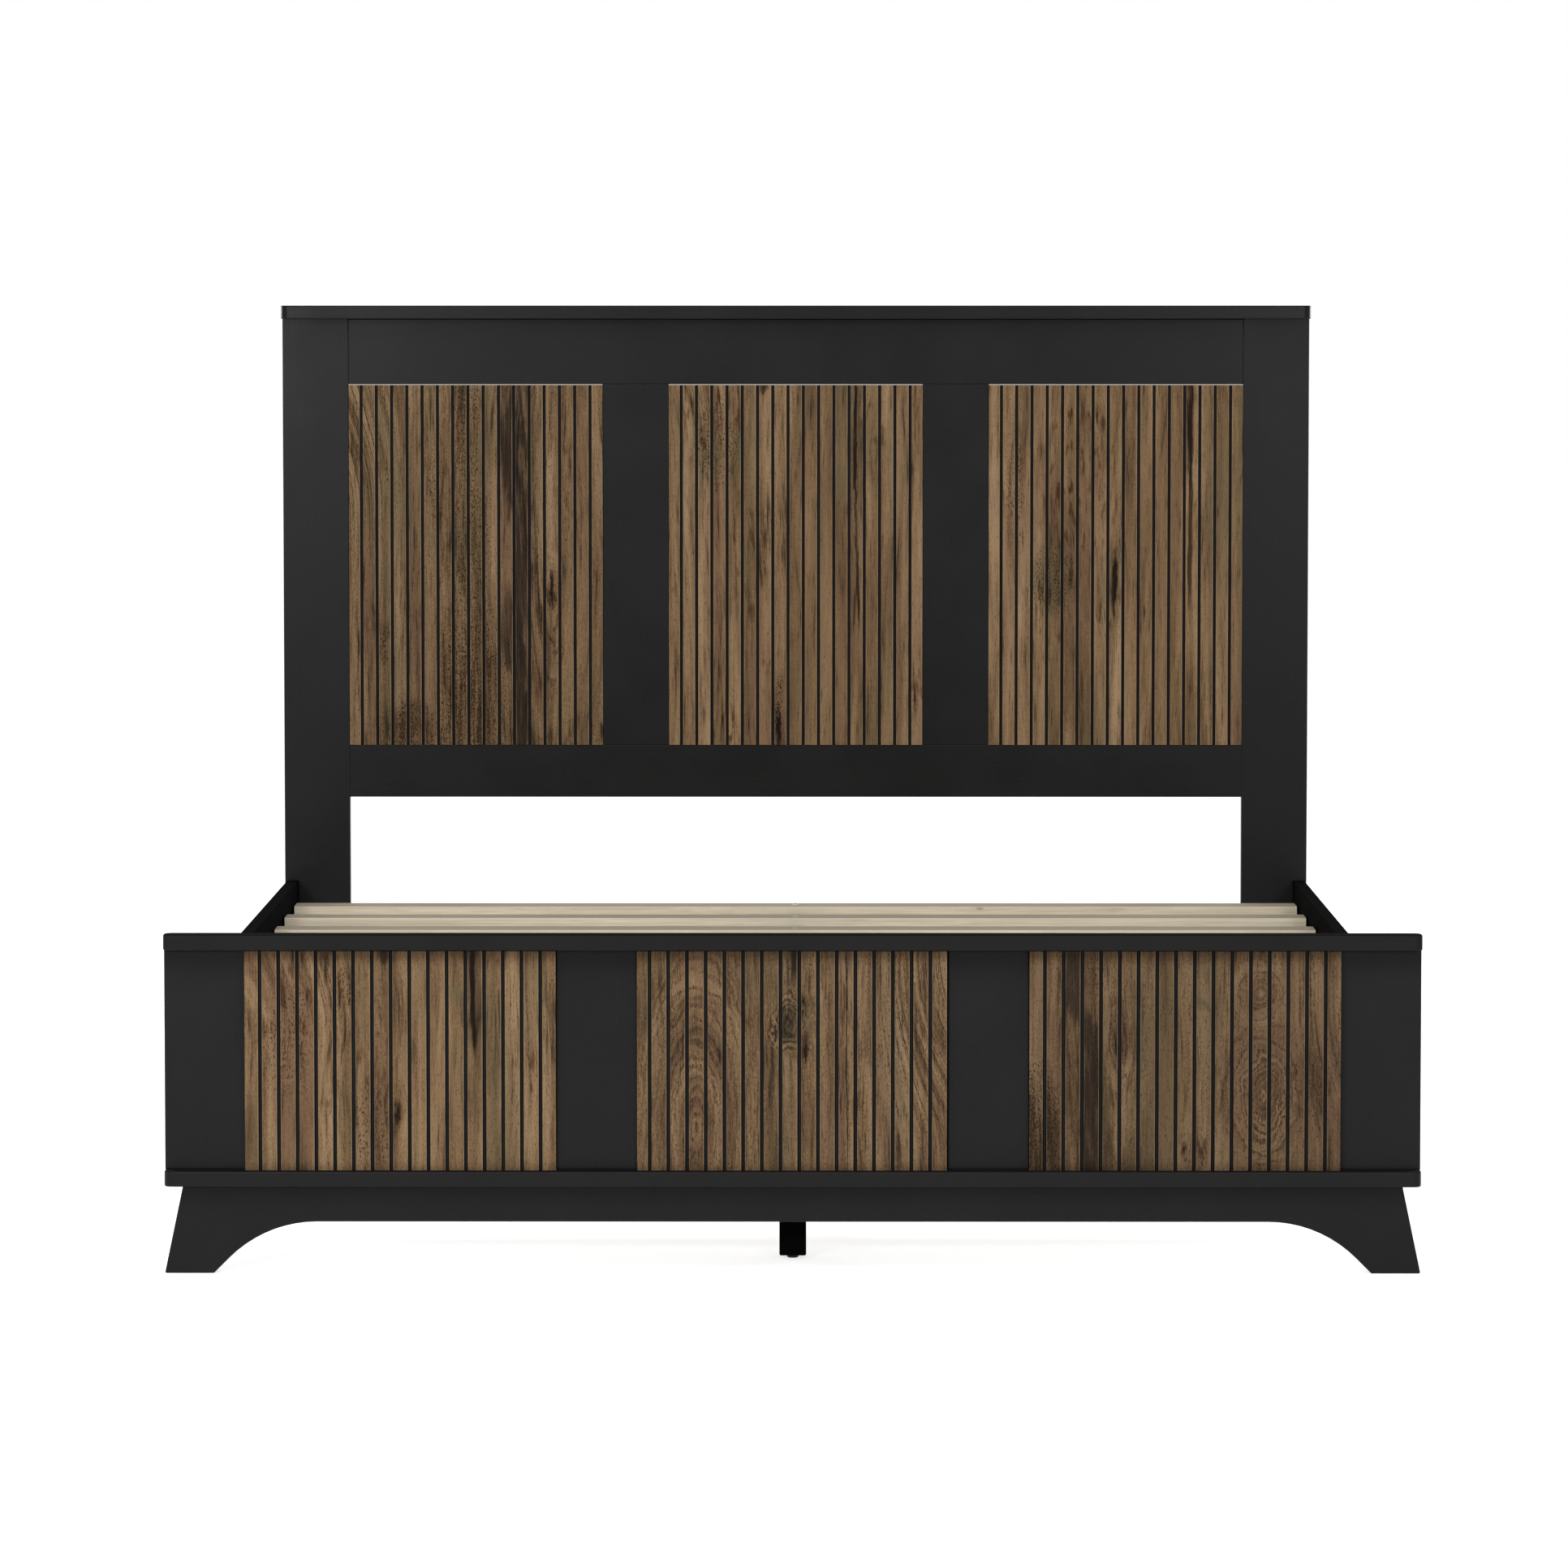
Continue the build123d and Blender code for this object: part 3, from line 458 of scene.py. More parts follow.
    def stippled(self, colour, stipple):
        """Dark dots in columns, close together, and the wood between them a little browner."""
        crowded = self.spots(stipple, 0.2)
        columns = self.ease(self.cloud(self.lie, (230.0, 8.0, 7.0), detail=1.0), 0.35, 0.65, 0.04, 0.24)
        dots = self.cloud(self.lie, (700.0, 260.0, 9.0), detail=1.0)
        dots = self.ease(self.math("MULTIPLY_ADD", crowded, columns, dots), 0.59, 0.69)
        self.dots = self.math("MULTIPLY", dots, self.ease(crowded, 0.0, 0.25))
        colour = self.stained(self.math("MULTIPLY", crowded, 0.55), colour, halo_stain)
        return self.blend(self.math("MULTIPLY", self.dots, 0.88), colour, pore_black)

    def pored(self, colour, ticks, fleck, crisp):
        """Fine dashes along the grain, more of them on the rings, and small cross marks where it curls."""
        rows = self.ease(self.cloud(self.figure, (150.0, 5.0, 4.0), detail=1.0), 0.46, 0.68)
        crowd = self.math("ADD", self.rings, self.math("MULTIPLY", rows, fleck))
        dashes = self.cloud(self.lie, (1000.0, 190.0, 1.0), detail=1.0)
        self.pits = self.ease(self.math("MULTIPLY_ADD", crowd, 0.155, dashes), 0.63, 0.76)
        if ticks:
            curls = self.join(self.smoky_x, self.frayed_down, fibre_cut)
            tick = self.ease(self.cloud(curls, (110.0, 380.0, 17.0), detail=1.0), 0.50, 0.64)
            marked = self.math("MULTIPLY", tick, self.spots(ticks, 0.2))
            self.pits = self.math("MAXIMUM", self.pits, marked)
        return self.blend(self.math("MULTIPLY", self.pits, 0.25 + 0.36 * crisp), colour, pore_black)

    def smudged(self, colour, smudges):
        """Short rusty smears along the grain."""
        smear = self.cloud(self.lie, (120.0, 26.0, 13.0), detail=2.0, roughness=0.6)
        smear = self.math("MULTIPLY", self.ease(smear, 0.52, 0.70), self.spots(smudges, 0.3))
        return self.stained(smear, colour, rust_stain)

    def streaked(self, colour, streaks):
        """Smoke-dark streaks and thin splits, broken up by the grain that they follow."""
        for path, strips, amount in streaks:
            middle = self.math("MULTIPLY", self.streak(path, strips), 0.85)
            uneven = self.nudge(self.nudge(middle, self.plumes, -1.1), self.fibres, -1.3)
            share = self.math("MULTIPLY", self.ease(uneven, 0.05, 0.85), amount)
            colour = self.stained(share, colour, smoke_stain if strips > smoke_width else split_stain)
        return colour

    def knotted(self, colour, knots):
        """Torn dark knots, each in a softer halo."""
        for strip, down, strips, share, dark in knots:
            halo = self.math("MULTIPLY", self.spot(strip, down, strips * 2.4, share * 1.8), 0.8 * dark)
            colour = self.stained(halo, colour, halo_stain)
            ragged = self.spot(strip, down, strips * 1.2, share * 1.2, edge="frayed")
            torn = self.ease(self.nudge(ragged, self.fibres, 1.6), 0.05, 0.85)
            colour = self.stained(self.math("MULTIPLY", torn, dark), colour, knot_stain)
        return colour

    def worn_and_highlit(self, colour, from_groove):
        """Each strip's arrises are paler, its right one more: partly wear and partly a painted highlight.
        """
        edge = groove_width / 2
        right_arris = self.ease(from_groove, -edge - pale_right_arris, -edge - pale_arris_in_full)
        left_arris = self.ease(from_groove, edge + pale_left_arris, edge + pale_arris_in_full, 0.0, 0.5)
        right_arris = self.math("MULTIPLY", right_arris, self.math("LESS_THAN", from_groove, 0.0))
        left_arris = self.math("MULTIPLY", left_arris, self.math("GREATER_THAN", from_groove, 0.0))
        wear = self.ease(self.fibres, 0.35, 0.6, 0.35, 0.85)
        arris = self.math("MULTIPLY", self.math("MAXIMUM", right_arris, left_arris), wear)
        return self.blend(arris, colour, oak_pale)

    def painted_end_shade(self, colour, painted_shade):
        """Painted shade in the corners under the cap and, half as much, over the ledge."""
        above = self.ease(self.down, shade_under_cap, 0.0)
        below = self.ease(self.down, self.height - shade_over_ledge, self.height, 0.0, 0.5)
        shade_share = self.math("MULTIPLY", self.math("ADD", above, below), painted_shade)
        return self.stained(shade_share, colour, halo_stain)

    def grooves_painted(self, colour, from_groove, lit_bare_edge):
        """Black in and over the grooves; where lit, the bevel's core drawn pale as a painted highlight."""
        below_bevel = self.math("GREATER_THAN", self.down, paint_start)
        beside = self.math("ABSOLUTE", from_groove)
        over_edge = self.ease(beside, groove_width / 2 + lap_end, groove_width / 2 + lap_full)
        if lit_bare_edge:
            # A lit bare edge is drawn pale: partly bare core, partly a painted highlight on the bevel.
            on_bevel = self.math("LESS_THAN", self.down, core_end)
            colour = self.blend(on_bevel, colour, lit_bare_core)
            over_edge = self.math("MULTIPLY", over_edge, below_bevel)
        depth = self.math("SUBTRACT", self.y, self.low.y)
        sunk = self.math("MULTIPLY", self.ease(depth, paint_edge_depth, paint_full_depth), below_bevel)
        # Paler along the groove's middle: a painted light on its floor.
        paint = self.blend(self.ease(beside, middle_full, middle_end), lit_groove_middle, groove_black)
        return self.blend(self.math("MAXIMUM", over_edge, sunk), colour, paint)

    def oak(self, leans=(), hearts=(), eddies=(), knots=(), streaks=(), lines=(), stipple=(), patches=(),
            smudges=(), ticks=(), fleck=0.4, painted_shade=0.0, crisp=1.0, lit_bare_edge=False, light=1.0):
        """Grows and saws the wood, puts the marks in, paints the grooves and gives the panel its finish.

        leans are (strip with none, strip with most, start, stop, slope), hearts (strip, down, closing),
        eddies (strip, down, strips, share, and a twist where the usual one won't do), streaks (path,
        strips, amount), and patches (strip, down, strips, share, tint, amount). All the other marks are
        (strip, down, strips, share, amount), and the places and reaches down are shares of the height.
        """
        self.grow(leans, knots, hearts, eddies)
        self.saw(lines, crisp)
        colour = self.stippled(self.tinted(patches), stipple)
        if smudges:
            colour = self.smudged(colour, smudges)
        colour = self.pored(colour, ticks, fleck, crisp)
        colour = self.knotted(self.streaked(colour, streaks), knots)

        grooves = self.math("DIVIDE", self.math("SUBTRACT", self.x, self.first_groove), groove_pitch)
        from_groove = self.math("SUBTRACT", self.math("FRACT", self.math("ADD", grooves, 0.5)), 0.5)
        from_groove = self.math("MULTIPLY", from_groove, groove_pitch)
        colour = self.worn_and_highlit(colour, from_groove)
        colour = self.stained(1.0, colour, (light, light * 0.98, light * 0.91, 1.0))
        # A painted shade under the cap and over the ledge.
        if painted_shade:
            colour = self.painted_end_shade(colour, painted_shade)
        colour = self.grooves_painted(colour, from_groove, lit_bare_edge)

        roughness = self.math("MULTIPLY_ADD", self.tone, 0.18, 0.47)
        pits = self.math("MAXIMUM", self.pits, self.dots)
        ridges = self.math("MULTIPLY_ADD", self.fibres, 0.5, self.tone)
        relief = self.math("MULTIPLY_ADD", pits, -0.5, ridges)
        dress(self.node_name, self.surface(colour, roughness, relief, wood_relief, gloss=0.06))


GroovedOak("headboard_panel_left", seed=1).oak(
    leans=[(5.0, -0.5, -0.1, 0.36, 0.42)],
    hearts=[(14.0, 0.48, 0.17)],
    knots=[(13.95, 0.56, 0.20, 0.070, 1.0), (17.4, 0.97, 0.5, 0.05, 0.8), (13.35, 0.64, 0.08, 0.05, 0.6)],
    streaks=[([(11.05, -0.4), (11.2, 0.20), (11.95, 0.38), (12.0, 1.6)], 1.15, 0.92),
             ([(11.1, 0.5), (11.1, 0.85)], 0.8, 0.6), ([(12.0, -0.3), (12.3, 0.55)], 1.0, 0.55),
             ([(12.35, -0.3), (12.45, 0.4)], 0.16, 0.7), ([(11.7, -0.2), (12.3, 0.3)], 0.14, 0.7)],
    lines=[(1.6, 0.20, 3.6, 0.42, 1.3), (13.6, 0.60, 2.2, 0.36, 1.0), (4.0, 0.95, 3.0, 0.12, 0.6),
           (8.0, 0.7, 2.0, 0.5, 0.4)],
    stipple=[(8.4, 0.10, 1.3, 0.26, 0.8), (8.7, 0.90, 3.0, 0.42, 1.0), (4.6, 0.96, 2.6, 0.13, 0.9),
             (8.6, 0.45, 2.0, 0.30, 0.45), (2.9, 0.72, 0.4, 0.08, 0.6), (6.4, 0.3, 0.8, 0.2, 0.3)],
    patches=[(16.0, 0.5, 2.4, 0.7, oak_tan, 0.5), (3.6, 0.35, 3.4, 0.40, oak_olive, 0.45),
             (9.8, 0.12, 1.2, 0.3, oak_olive, 0.4)],
    smudges=[(7.0, 0.3, 2.6, 0.4, 0.6), (14.6, 0.25, 2.0, 0.4, 0.5), (8.5, 0.8, 3.0, 0.3, 0.7)],
    ticks=[(4.6, 0.93, 2.4, 0.10, 0.8), (2.6, 0.95, 1.2, 0.05, 0.6)],
    fleck=0.2, crisp=1.45, lit_bare_edge=True, light=0.93)

GroovedOak("headboard_panel_centre", seed=2).oak(
    leans=[(6.0, -1.0, -0.2, 0.15, 0.5)],
    knots=[(7.9, 0.96, 0.26, 0.10, 1.0), (16.8, 0.87, 0.10, 0.05, 0.8), (6.95, 0.51, 0.09, 0.016, 0.7)],
    streaks=[([(12.95, -0.3), (12.9, 0.2), (12.95, 0.50)], 0.20, 1.0),
             ([(12.9, 0.2), (13.2, 0.78)], 0.15, 0.9), ([(13.0, -0.3), (13.0, 0.6)], 0.7, 0.40),
             ([(6.9, -0.08), (6.95, 0.05)], 0.45, 0.9)],
    lines=[(2.8, 0.05, 3.4, 0.15, 0.9), (15.5, 0.6, 1.6, 0.5, 0.4)],
    stipple=[(3.8, 0.16, 2.2, 0.2, 0.35), (8.0, 0.9, 0.8, 0.14, 0.4)],
    patches=[(11.9, 0.27, 0.9, 0.08, oak_olive, 0.9), (3.4, 0.2, 1.1, 0.12, oak_olive, 0.9),
             (5.2, 0.2, 0.8, 0.12, oak_olive, 0.8), (10.3, 0.6, 2.2, 0.8, oak_tan, 0.6),
             (16.0, 0.5, 1.6, 0.9, oak_pale, 0.25)],
    smudges=[(3.5, 0.08, 3.4, 0.22, 1.0), (14.2, 0.12, 1.6, 0.14, 0.9), (3.0, 0.3, 1.6, 0.12, 0.8),
             (6.0, 0.5, 2.4, 0.3, 0.7), (4.6, 0.95, 1.4, 0.10, 1.0), (16.8, 0.84, 0.9, 0.12, 0.9),
             (1.0, 0.55, 0.9, 0.5, 0.6), (6.8, 0.8, 0.9, 0.15, 0.7)],
    fleck=0.12, crisp=0.8, lit_bare_edge=True, light=1.05)

GroovedOak("headboard_panel_right", seed=3).oak(
    knots=[(8.9, 0.55, 0.34, 0.11, 1.0), (4.1, 0.56, 0.2, 0.02, 0.6), (6.0, 0.535, 0.2, 0.03, 0.7),
           (8.1, 0.63, 0.14, 0.03, 0.7), (7.8, 0.08, 0.10, 0.03, 0.8), (8.0, 0.32, 0.08, 0.02, 0.6)],
    streaks=[([(13.8, -0.2), (13.9, 0.1), (13.9, 0.36)], 0.34, 1.0),
             ([(13.9, 0.1), (13.9, 0.7)], 0.20, 0.8), ([(13.7, -0.2), (13.8, 0.3)], 0.8, 0.35)],
    lines=[(15.8, 0.8, 1.8, 0.4, 0.5)],
    stipple=[(5.0, 0.54, 2.2, 0.14, 0.45), (2.4, 0.3, 1.0, 0.3, 0.25)],
    patches=[(4.9, 0.53, 2.0, 0.13, oak_olive, 0.8), (8.6, 0.56, 1.4, 0.12, oak_olive, 0.7),
             (12.0, 0.5, 1.9, 0.8, oak_tan, 0.6), (16.3, 0.7, 1.5, 0.6, oak_pale, 0.3)],
    smudges=[(6.5, 0.25, 3.6, 0.45, 1.0), (4.6, 0.62, 2.4, 0.2, 0.9), (8.6, 0.6, 1.6, 0.2, 1.0),
             (14.4, 0.15, 1.2, 0.3, 0.6), (14.6, 0.85, 0.8, 0.2, 0.6)],
    fleck=0.12, crisp=0.7, lit_bare_edge=True, light=1.07)


# ---------------------------------------------------------------------------------------------
# Headboard back: a sheet of black hardboard in a rebate behind the rails, and the beech dowels
# that register rails, stiles and cap, like those in the footboard. The sheet's black is a little
# paler than the boards', and the dowels are bare.
# ---------------------------------------------------------------------------------------------
black_painted("headboard_back_board", level=0.015, arris_level=0.03)

beech_dark = (0.46, 0.315, 0.185, 1.0)
beech_light = (0.66, 0.50, 0.33, 1.0)
beech_fleck = (0.30, 0.18, 0.10, 1.0)
beech_relief = 0.0002

beech = Finish("beech_dowel")
beech_grain = beech.cloud(beech.place, (420.0, 420.0, 60.0), detail=3.0, roughness=0.6)
beech_flecks = beech.ease(beech.cloud(beech.place, (900.0, 900.0, 160.0), detail=1.0), 0.62, 0.7)
beech_colour = beech.blend(beech_grain, beech_dark, beech_light)
beech_colour = beech.blend(beech.math("MULTIPLY", beech_flecks, 0.6), beech_colour, beech_fleck)
beech_dowel = beech.surface(beech_colour, 0.62, beech_grain, beech_relief, gloss=0.3)
for dowels in ("headboard_dowels", "footboard_dowels"):
    dress(dowels, beech_dowel)


# ---------------------------------------------------------------------------------------------
# Footboard frame: four flush stiles glued on a backing board between a cap and a ledge, which
# have rounded corners, and below them the apron, sawn in one board with its splayed feet.
# ---------------------------------------------------------------------------------------------
under_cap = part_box("footboard_cap")[0].z
ledge_low, ledge_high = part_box("footboard_ledge")
for board in ("stile_outer_left", "stile_inner_left", "stile_inner_right", "stile_outer_right"):
    black_painted("footboard_" + board, level=0.0087, joints=(under_cap, ledge_high.z), overhang=under_cap)
black_painted("footboard_apron", level=0.0088, joints=(ledge_low.z,), overhang=ledge_low.z)
black_painted("footboard_ledge", level=0.0088)
black_painted("footboard_cap", level=0.0125, gloss=0.012)
black_painted("footboard_back_board", level=0.012, arris_level=0.02, dull=0.6)


# ---------------------------------------------------------------------------------------------
# Footboard panels: the same grooved oak-faced board, cut lower, its top hidden by the cap and its
# paint run out under it. The middle one is a little narrower, with its grooves set over to the left.
# ---------------------------------------------------------------------------------------------
middle_groove_shift = -0.0025

# The footboard panels are darkened under the cap and over the ledge as a painted shade, and their bevel is
# not drawn pale, as it lies in the cap's shadow.
GroovedOak("footboard_panel_left", seed=4).oak(
    leans=[(8.0, -0.5, -0.1, 0.42, 0.5)],
    knots=[(8.85, 0.73, 0.27, 0.08, 1.0), (5.1, 0.71, 0.22, 0.03, 0.4), (7.9, 0.38, 0.08, 0.02, 0.6)],
    streaks=[([(12.9, -0.3), (12.85, 0.2), (13.05, 0.6)], 0.20, 1.0),
             ([(4.6, -0.16), (5.4, 0.08)], 0.9, 0.7), ([(8.1, -0.12), (8.2, 0.08)], 0.9, 0.8),
             ([(12.9, -0.3), (13.0, 0.5)], 0.6, 0.35)],
    lines=[(4.2, 0.12, 4.4, 0.3, 0.7), (16.0, 0.4, 1.8, 0.6, 0.7), (9.6, 0.5, 0.9, 0.5, 0.5)],
    stipple=[(6.0, 0.17, 0.9, 0.14, 0.7), (7.5, 0.8, 1.6, 0.3, 0.35), (3.0, 0.4, 2.4, 0.5, 0.25)],
    patches=[(12.0, 0.21, 0.6, 0.1, oak_olive, 0.8), (11.0, 0.6, 1.8, 0.6, oak_tan, 0.6),
             (0.8, 0.85, 1.1, 0.30, oak_dark, 0.7), (3.6, 0.5, 1.2, 0.4, oak_tan, 0.35),
             (16.2, 0.5, 1.3, 0.7, oak_pale, 0.3)],
    smudges=[(3.5, 0.25, 4.4, 0.4, 0.9), (7.4, 0.4, 1.6, 0.5, 0.8), (5.2, 0.7, 1.2, 0.12, 0.9),
             (8.6, 0.75, 1.4, 0.16, 1.0), (16.0, 0.55, 1.6, 0.3, 0.8), (14.5, 0.05, 2.0, 0.1, 0.8)],
    fleck=0.25, crisp=1.0, light=0.87, painted_shade=0.8)

GroovedOak("footboard_panel_centre", seed=5, groove_shift=middle_groove_shift).oak(
    leans=[(12.8, 18.0, 0.0, 0.9, 0.55)],
    eddies=[(4.0, 0.80, 4.6, 1.10, 0.005), (8.95, 0.33, 1.5, 0.20, 0.016)],
    knots=[(9.65, 0.25, 0.26, 0.030, 1.0), (9.85, 0.45, 0.24, 0.060, 1.0), (8.3, 0.38, 0.16, 0.03, 0.9),
           (8.8, 0.29, 0.34, 0.022, 0.9), (8.95, 0.38, 0.30, 0.03, 0.7)],
    streaks=[([(9.3, -0.5), (9.2, 0.28)], 0.42, 0.9),
             ([(11.9, -0.6), (12.05, 0.4), (12.1, 1.4)], 0.055, 1.0),
             ([(12.1, -0.3), (12.1, 0.16)], 0.6, 0.5)],
    lines=[(4.2, 0.45, 3.8, 0.8, 0.7), (15.8, 0.4, 2.8, 0.8, 1.3), (8.6, 0.40, 2.0, 0.35, 1.7)],
    stipple=[(14.6, 0.35, 1.6, 0.35, 0.15), (2.5, 0.3, 1.0, 0.2, 0.2)],
    patches=[(1.2, 0.3, 0.6, 0.12, oak_dark, 0.6), (3.0, 0.66, 0.5, 0.12, oak_tan, 0.6),
             (14.0, 0.5, 1.4, 0.6, oak_pale, 0.3), (9.0, 0.33, 1.2, 0.15, oak_olive, 0.8),
             (9.85, 0.44, 0.34, 0.09, oak_dark, 0.9), (9.0, 0.33, 0.9, 0.11, gnarl, 0.8)],
    smudges=[(6.2, 0.3, 1.2, 0.3, 0.8), (12.2, 0.2, 1.0, 0.3, 0.8), (2.6, 0.3, 1.2, 0.3, 0.6),
             (8.9, 0.34, 1.4, 0.16, 0.9)],
    fleck=0.35, crisp=1.45, light=0.73, painted_shade=0.8)

GroovedOak("footboard_panel_right", seed=6).oak(
    leans=[(13.0, 19.0, 0.2, 1.0, 0.45)],
    hearts=[(5.6, 0.38, 0.22)],
    eddies=[(13.25, 0.66, 3.3, 0.46, 0.013), (6.2, 1.14, 2.2, 0.30, 0.006), (13.0, 0.20, 2.2, 0.20)],
    knots=[(5.45, 0.43, 0.34, 0.11, 1.0), (9.0, 0.90, 0.16, 0.05, 0.7), (9.85, 0.93, 0.22, 0.06, 0.7)],
    streaks=[([(2.9, -0.4), (3.1, 0.20), (3.9, 0.42), (4.0, 1.6)], 1.0, 0.85),
             ([(4.3, -0.3), (4.7, 0.2)], 0.6, 0.5)],
    lines=[(13.3, 0.66, 3.6, 0.55, 0.85), (6.2, 1.1, 2.4, 0.34, 1.2), (5.6, 0.4, 1.6, 0.4, 0.8),
           (16.0, 0.4, 2.2, 0.6, 1.0), (13.0, 0.2, 2.4, 0.22, 0.5)],
    stipple=[(1.3, 0.88, 1.6, 0.46, 1.15), (4.2, 0.1, 1.0, 0.15, 0.3), (16.0, 0.6, 1.6, 0.3, 0.2)],
    patches=[(9.9, 0.26, 1.4, 0.05, oak_olive, 0.7), (16.0, 0.58, 1.6, 0.2, oak_dark, 0.45),
             (1.4, 0.95, 1.4, 0.35, oak_dark, 0.6), (8.0, 0.6, 2.0, 0.6, oak_tan, 0.4),
             (13.4, 0.74, 0.5, 0.08, oak_dark, 0.5)],
    smudges=[(5.4, 0.35, 1.4, 0.3, 0.8), (9.4, 0.9, 1.6, 0.14, 1.0), (15.5, 0.62, 2.2, 0.18, 0.7)],
    fleck=0.35, crisp=1.45, light=0.60, painted_shade=0.8)


# ---------------------------------------------------------------------------------------------
# Side rails and their ledgers, the blocks in the corners behind the footboard, the middle rail
# and its legs: solid boards in the same black. The rails' inner faces, the ledgers and the legs
# are drawn darker and duller, a painted shade inside and under the bed; the rails' outer faces
# are a paler black.
# ---------------------------------------------------------------------------------------------
leg_count = 4

for side in ("left", "right"):
    # The rails' inner faces and the ledgers are drawn near black: a painted shade inside the bed.
    black_painted("side_rail_" + side, level=0.0019, arris_level=0.004, dull=0.95, gloss=0.010, outside=0.0150)
    black_painted("slat_ledger_" + side, level=0.0030, arris_level=0.005, dull=0.95, gloss=0.010)
    black_painted("corner_block_" + side, gloss=0.03)
black_painted("centre_rail", gloss=0.03)
# The legs are drawn near black: a painted shade under the bed.
for number in range(1, leg_count + 1):
    black_painted(f"centre_leg_{number}", level=0.0025, arris_level=0.004, dull=0.9, gloss=0.012)


# ---------------------------------------------------------------------------------------------
# Slats: ten sawn laths of pale poplar, planed and left bare, with fine grain, a few pin knots and
# darker end grain; their tops are drawn darker, a painted shade, and their arrises paler, a painted
# highlight. No two are cut from the same place in the board. Screws hold their ends on the ledgers,
# and a bolt or a screw their middles on the centre rail.
# ---------------------------------------------------------------------------------------------
slat_light = (0.600, 0.530, 0.405, 1.0)
slat_dark = (0.400, 0.340, 0.245, 1.0)
slat_knot = (0.180, 0.110, 0.060, 1.0)
slat_top_shade = (0.242, 0.211, 0.161, 1.0)
slat_roughness = 0.66
slat_count = 10
cut_apart = 1.31
end_grain_start = 0.0012
end_grain_full = 0.0002
rounded_arris = 0.003


def bare_slat(number):
    """The bare poplar of one slat, its grain along the slat and taken from its own place in the board."""
    node_name = f"slat_{number:02d}"
    low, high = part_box(node_name)
    lath = Finish("bare_" + node_name)
    x, y, z = lath.split(lath.place)
    in_board = lath.math("ADD", z, number * cut_apart)
    drift = lath.cloud(lath.join(x, y, in_board), (2.2, 9.0, 1.0), detail=2.0)
    lie = lath.join(x, lath.nudge(y, drift, 0.035), in_board)
    bands = lath.cloud(lie, (1.4, 75.0, 75.0), detail=2.0)
    fibres = lath.cloud(lie, (9.0, 420.0, 420.0), detail=3.0, roughness=0.65)
    tone = lath.nudge(lath.nudge(0.5, bands, 0.9), fibres, 0.9)
    colour = lath.ramp(tone, (0.22, slat_dark), (0.78, slat_light))
    pins = lath.ease(lath.cloud(lie, (16.0, 60.0, 60.0), detail=0.0), 0.83, 0.90)
    colour = lath.blend(pins, colour, slat_knot)
    from_end = lath.math("SUBTRACT", (high.x - low.x) / 2, lath.math("ABSOLUTE", x))
    end_grain = lath.ease(from_end, end_grain_start, end_grain_full, 0.0, 0.45)
    colour = lath.blend(end_grain, colour, slat_dark)
    # Arrises drawn paler: a painted highlight.
    pale_arris = lath.math("MULTIPLY", lath.near_arrises(node_name, rounded_arris), 0.35)
    colour = lath.blend(pale_arris, colour, slat_light)
    # Tops drawn darker: a painted shade.
    facing_up = lath.facing()[2]
    colour = lath.blend(lath.ease(facing_up, 0.3, 0.9, 0.0, 0.80), colour, slat_top_shade)
    dress(node_name, lath.surface(colour, slat_roughness, tone, wood_relief, gloss=0.2))


for number in range(1, slat_count + 1):
    bare_slat(number)


# ---------------------------------------------------------------------------------------------
# Fittings: bright zinc-plated screws, leg bolts, cross dowels and inserts, and the black-plated
# bolts that draw the rails to the posts. Turned and stamped steel: the plating is a little cloudy
# and shows fine turning lines.
# ---------------------------------------------------------------------------------------------
zinc_bright = (0.66, 0.67, 0.69, 1.0)
zinc_dull = (0.46, 0.47, 0.48, 1.0)
black_plate_bright = (0.060, 0.060, 0.063, 1.0)
black_plate_dull = (0.028, 0.028, 0.030, 1.0)
turned_relief = 0.00005


def plated(name, bright, dull, roughness):
    """Plated steel, its colour clouded between bright and dull."""
    steel = Finish(name)
    cloudy = steel.cloud(steel.place, (180.0, 180.0, 180.0), detail=3.0)
    turned = steel.cloud(steel.place, (400.0, 400.0, 2600.0), detail=1.0)
    colour = steel.blend(steel.ease(cloudy, 0.35, 0.65), dull, bright)
    shine = steel.math("MULTIPLY_ADD", cloudy, 0.22, roughness - 0.11)
    return steel.surface(colour, shine, turned, turned_relief, metallic=1.0)


bright_zinc = plated("bright_zinc", zinc_bright, zinc_dull, roughness=0.34)
for fitting in ("corner_block_screws", "ledger_screws", "slat_screws", "leg_bolts", "barrel_nuts",
                "threaded_inserts", "leveller_inserts"):
    dress(fitting, bright_zinc)
dress("rail_bolts", plated("black_plate", black_plate_bright, black_plate_dull, roughness=0.42))


# ---------------------------------------------------------------------------------------------
# Levellers: moulded black nylon feet on a threaded stud, screwed up into the centre legs. The
# nylon has a fine spark-eroded texture and is scuffed grey around the rim that meets the floor.
# ---------------------------------------------------------------------------------------------
# The nylon is drawn darker than black nylon is: a painted shade under the bed.
nylon_shaded_black = (0.006, 0.006, 0.0063, 1.0)
nylon_scuffed = (0.030, 0.029, 0.028, 1.0)
scuff_top = 0.0022
scuff_full = 0.0004
spark_relief = 0.00008

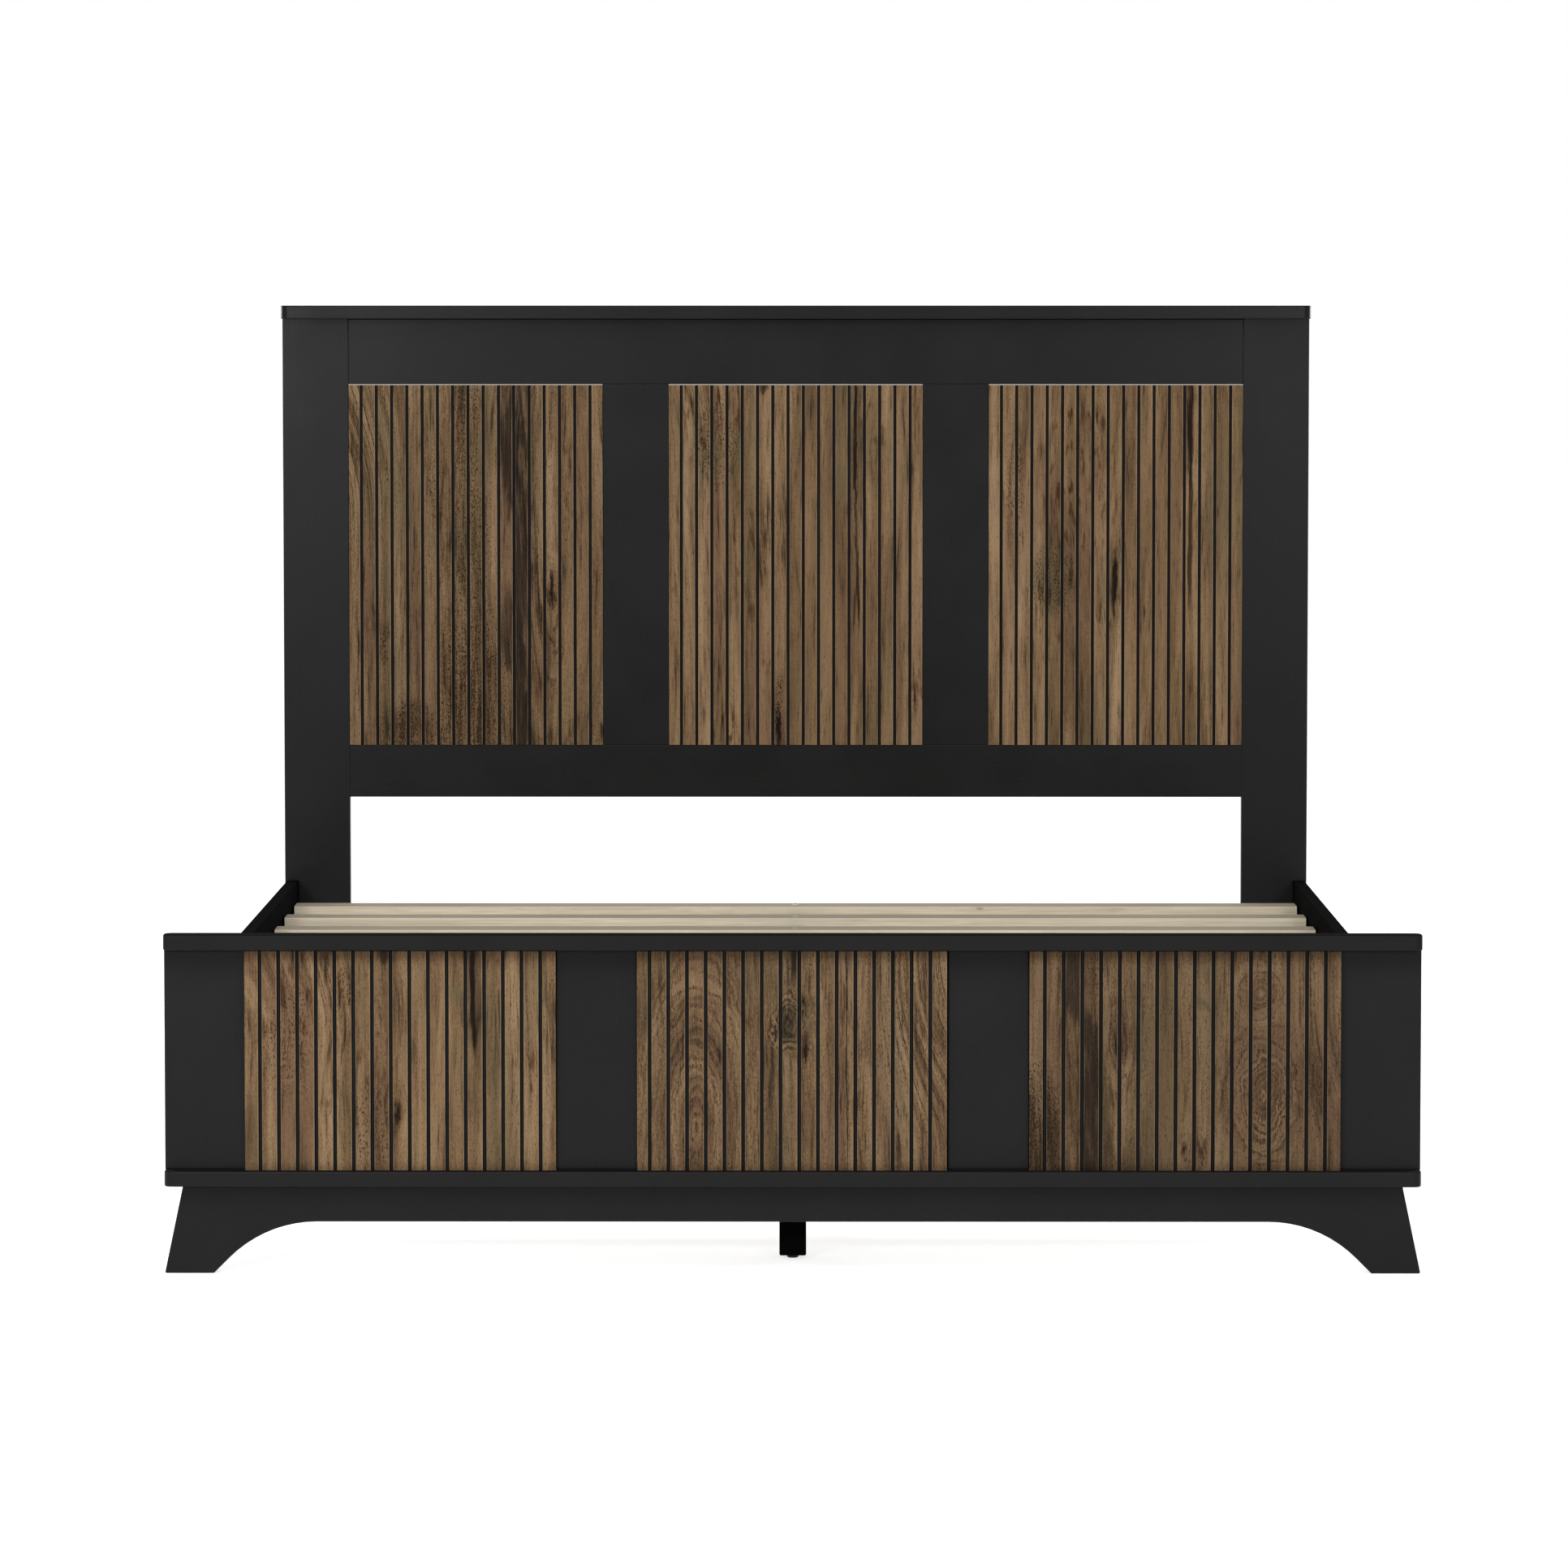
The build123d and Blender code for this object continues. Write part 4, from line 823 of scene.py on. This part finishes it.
nylon = Finish("black_nylon")
nylon_height = nylon.split(nylon.place)[2]
spark = nylon.cloud(nylon.place, (1900.0, 1900.0, 1900.0), detail=1.0)
scuff = nylon.cloud(nylon.place, (300.0, 300.0, 300.0))
scuff = nylon.math("MULTIPLY", nylon.ease(nylon_height, scuff_top, scuff_full), scuff)
nylon_colour = nylon.blend(scuff, nylon_shaded_black, nylon_scuffed)
nylon_shine = nylon.math("MULTIPLY_ADD", spark, 0.14, 0.50)
black_nylon = nylon.surface(nylon_colour, nylon_shine, spark, spark_relief, gloss=0.2)
for number in range(1, leg_count + 1):
    dress(f"leveller_{number}", black_nylon)


# ---------------------------------------------------------------------------------------------
# Studio: a pale floor that keeps the shadow, a white surround, a small soft box low on the left
# in front, a weaker one on the right, a large one overhead, and one behind on each side for the
# rails and the back. The camera stands straight in front of the footboard.
# ---------------------------------------------------------------------------------------------
floor_reach = 40.0
floor_white = 0.86
floor_lift = 0.68
ambient = 0.42
white = (1.0, 1.0, 1.0, 1.0)


def seen_directly(tree):
    """1 for what the camera sees itself, in a mirror or through glass, 0 for the light on the bed."""
    path = tree.nodes.new("ShaderNodeLightPath")
    seen = path.outputs["Is Camera Ray"]
    for ray in ("Is Glossy Ray", "Is Transmission Ray"):
        either = tree.nodes.new("ShaderNodeMath")
        either.operation = "MAXIMUM"
        tree.links.new(seen, either.inputs[0])
        tree.links.new(path.outputs[ray], either.inputs[1])
        seen = either.outputs[0]
    return seen


floor_mesh = bpy.data.meshes.new("floor")
corners = [(x * floor_reach, y * floor_reach, 0.0) for x, y in ((-1, -1), (1, -1), (1, 1), (-1, 1))]
floor_mesh.from_pydata(corners, [], [(0, 1, 2, 3)])
floor = bpy.data.objects.new("floor", floor_mesh)
bpy.context.scene.collection.objects.link(floor)

pale = bpy.data.materials.new("pale_floor")
pale.use_nodes = True
pale_tree = pale.node_tree
shader = pale_tree.nodes["Principled BSDF"]
shader.inputs["Base Color"].default_value = (floor_white, floor_white, floor_white, 1.0)
shader.inputs["Roughness"].default_value = 0.8
shader.inputs["Specular IOR Level"].default_value = 0.1
shader.inputs["Emission Color"].default_value = white
lift = pale_tree.nodes.new("ShaderNodeMath")
lift.operation = "MULTIPLY"
lift.inputs[1].default_value = floor_lift
pale_tree.links.new(seen_directly(pale_tree), lift.inputs[0])
pale_tree.links.new(lift.outputs[0], shader.inputs["Emission Strength"])
floor_mesh.materials.append(pale)

world = bpy.data.worlds.new("studio")
world.use_nodes = True
bpy.context.scene.world = world
surround = world.node_tree.nodes["Background"]
surround.inputs["Color"].default_value = white
brightness = world.node_tree.nodes.new("ShaderNodeMapRange")
brightness.inputs["To Min"].default_value = ambient
brightness.inputs["To Max"].default_value = 1.0
world.node_tree.links.new(seen_directly(world.node_tree), brightness.inputs["Value"])
world.node_tree.links.new(brightness.outputs[0], surround.inputs["Strength"])


def soft_box(name, place, target, side, power):
    """A square soft box that looks at target, with its side in metres and its power in watts."""
    lamp = bpy.data.lights.new(name, "AREA")
    lamp.shape = "SQUARE"
    lamp.size = side
    lamp.energy = power
    box = bpy.data.objects.new(name, lamp)
    box.location = place
    towards = Vector(target) - Vector(place)
    box.rotation_euler = towards.to_track_quat("-Z", "Y").to_euler()
    bpy.context.scene.collection.objects.link(box)


soft_box("key_box", (-1.68, -5.33, 1.35), target=(0.0, 0.2, 0.6), side=0.43, power=65.0)
soft_box("fill_box", (1.65, -5.19, 1.22), target=(0.0, 0.2, 0.6), side=0.48, power=36.0)
soft_box("high_box", (-0.60, -3.70, 4.10), target=(0.0, -1.0, 0.44), side=2.4, power=185.0)
soft_box("left_side_box", (-5.0, 4.0, 1.6), target=(0.0, 0.3, 0.5), side=1.6, power=190.0)
soft_box("right_side_box", (5.0, 4.0, 1.6), target=(0.0, 0.3, 0.5), side=1.6, power=190.0)

camera_tilt = 4.0511
camera_turn = 0.2055
camera_lens = bpy.data.cameras.new("camera")
camera_lens.lens = 159.73
camera_lens.sensor_width = 36.0
camera_lens.clip_end = 200.0
camera = bpy.data.objects.new("camera", camera_lens)
camera.location = (0.0209, -9.9214, 1.2594)
camera.rotation_euler = (math.radians(90.0 - camera_tilt), 0.0, math.radians(camera_turn))
bpy.context.scene.collection.objects.link(camera)
bpy.context.scene.camera = camera
bpy.context.scene.view_settings.view_transform = "Standard"
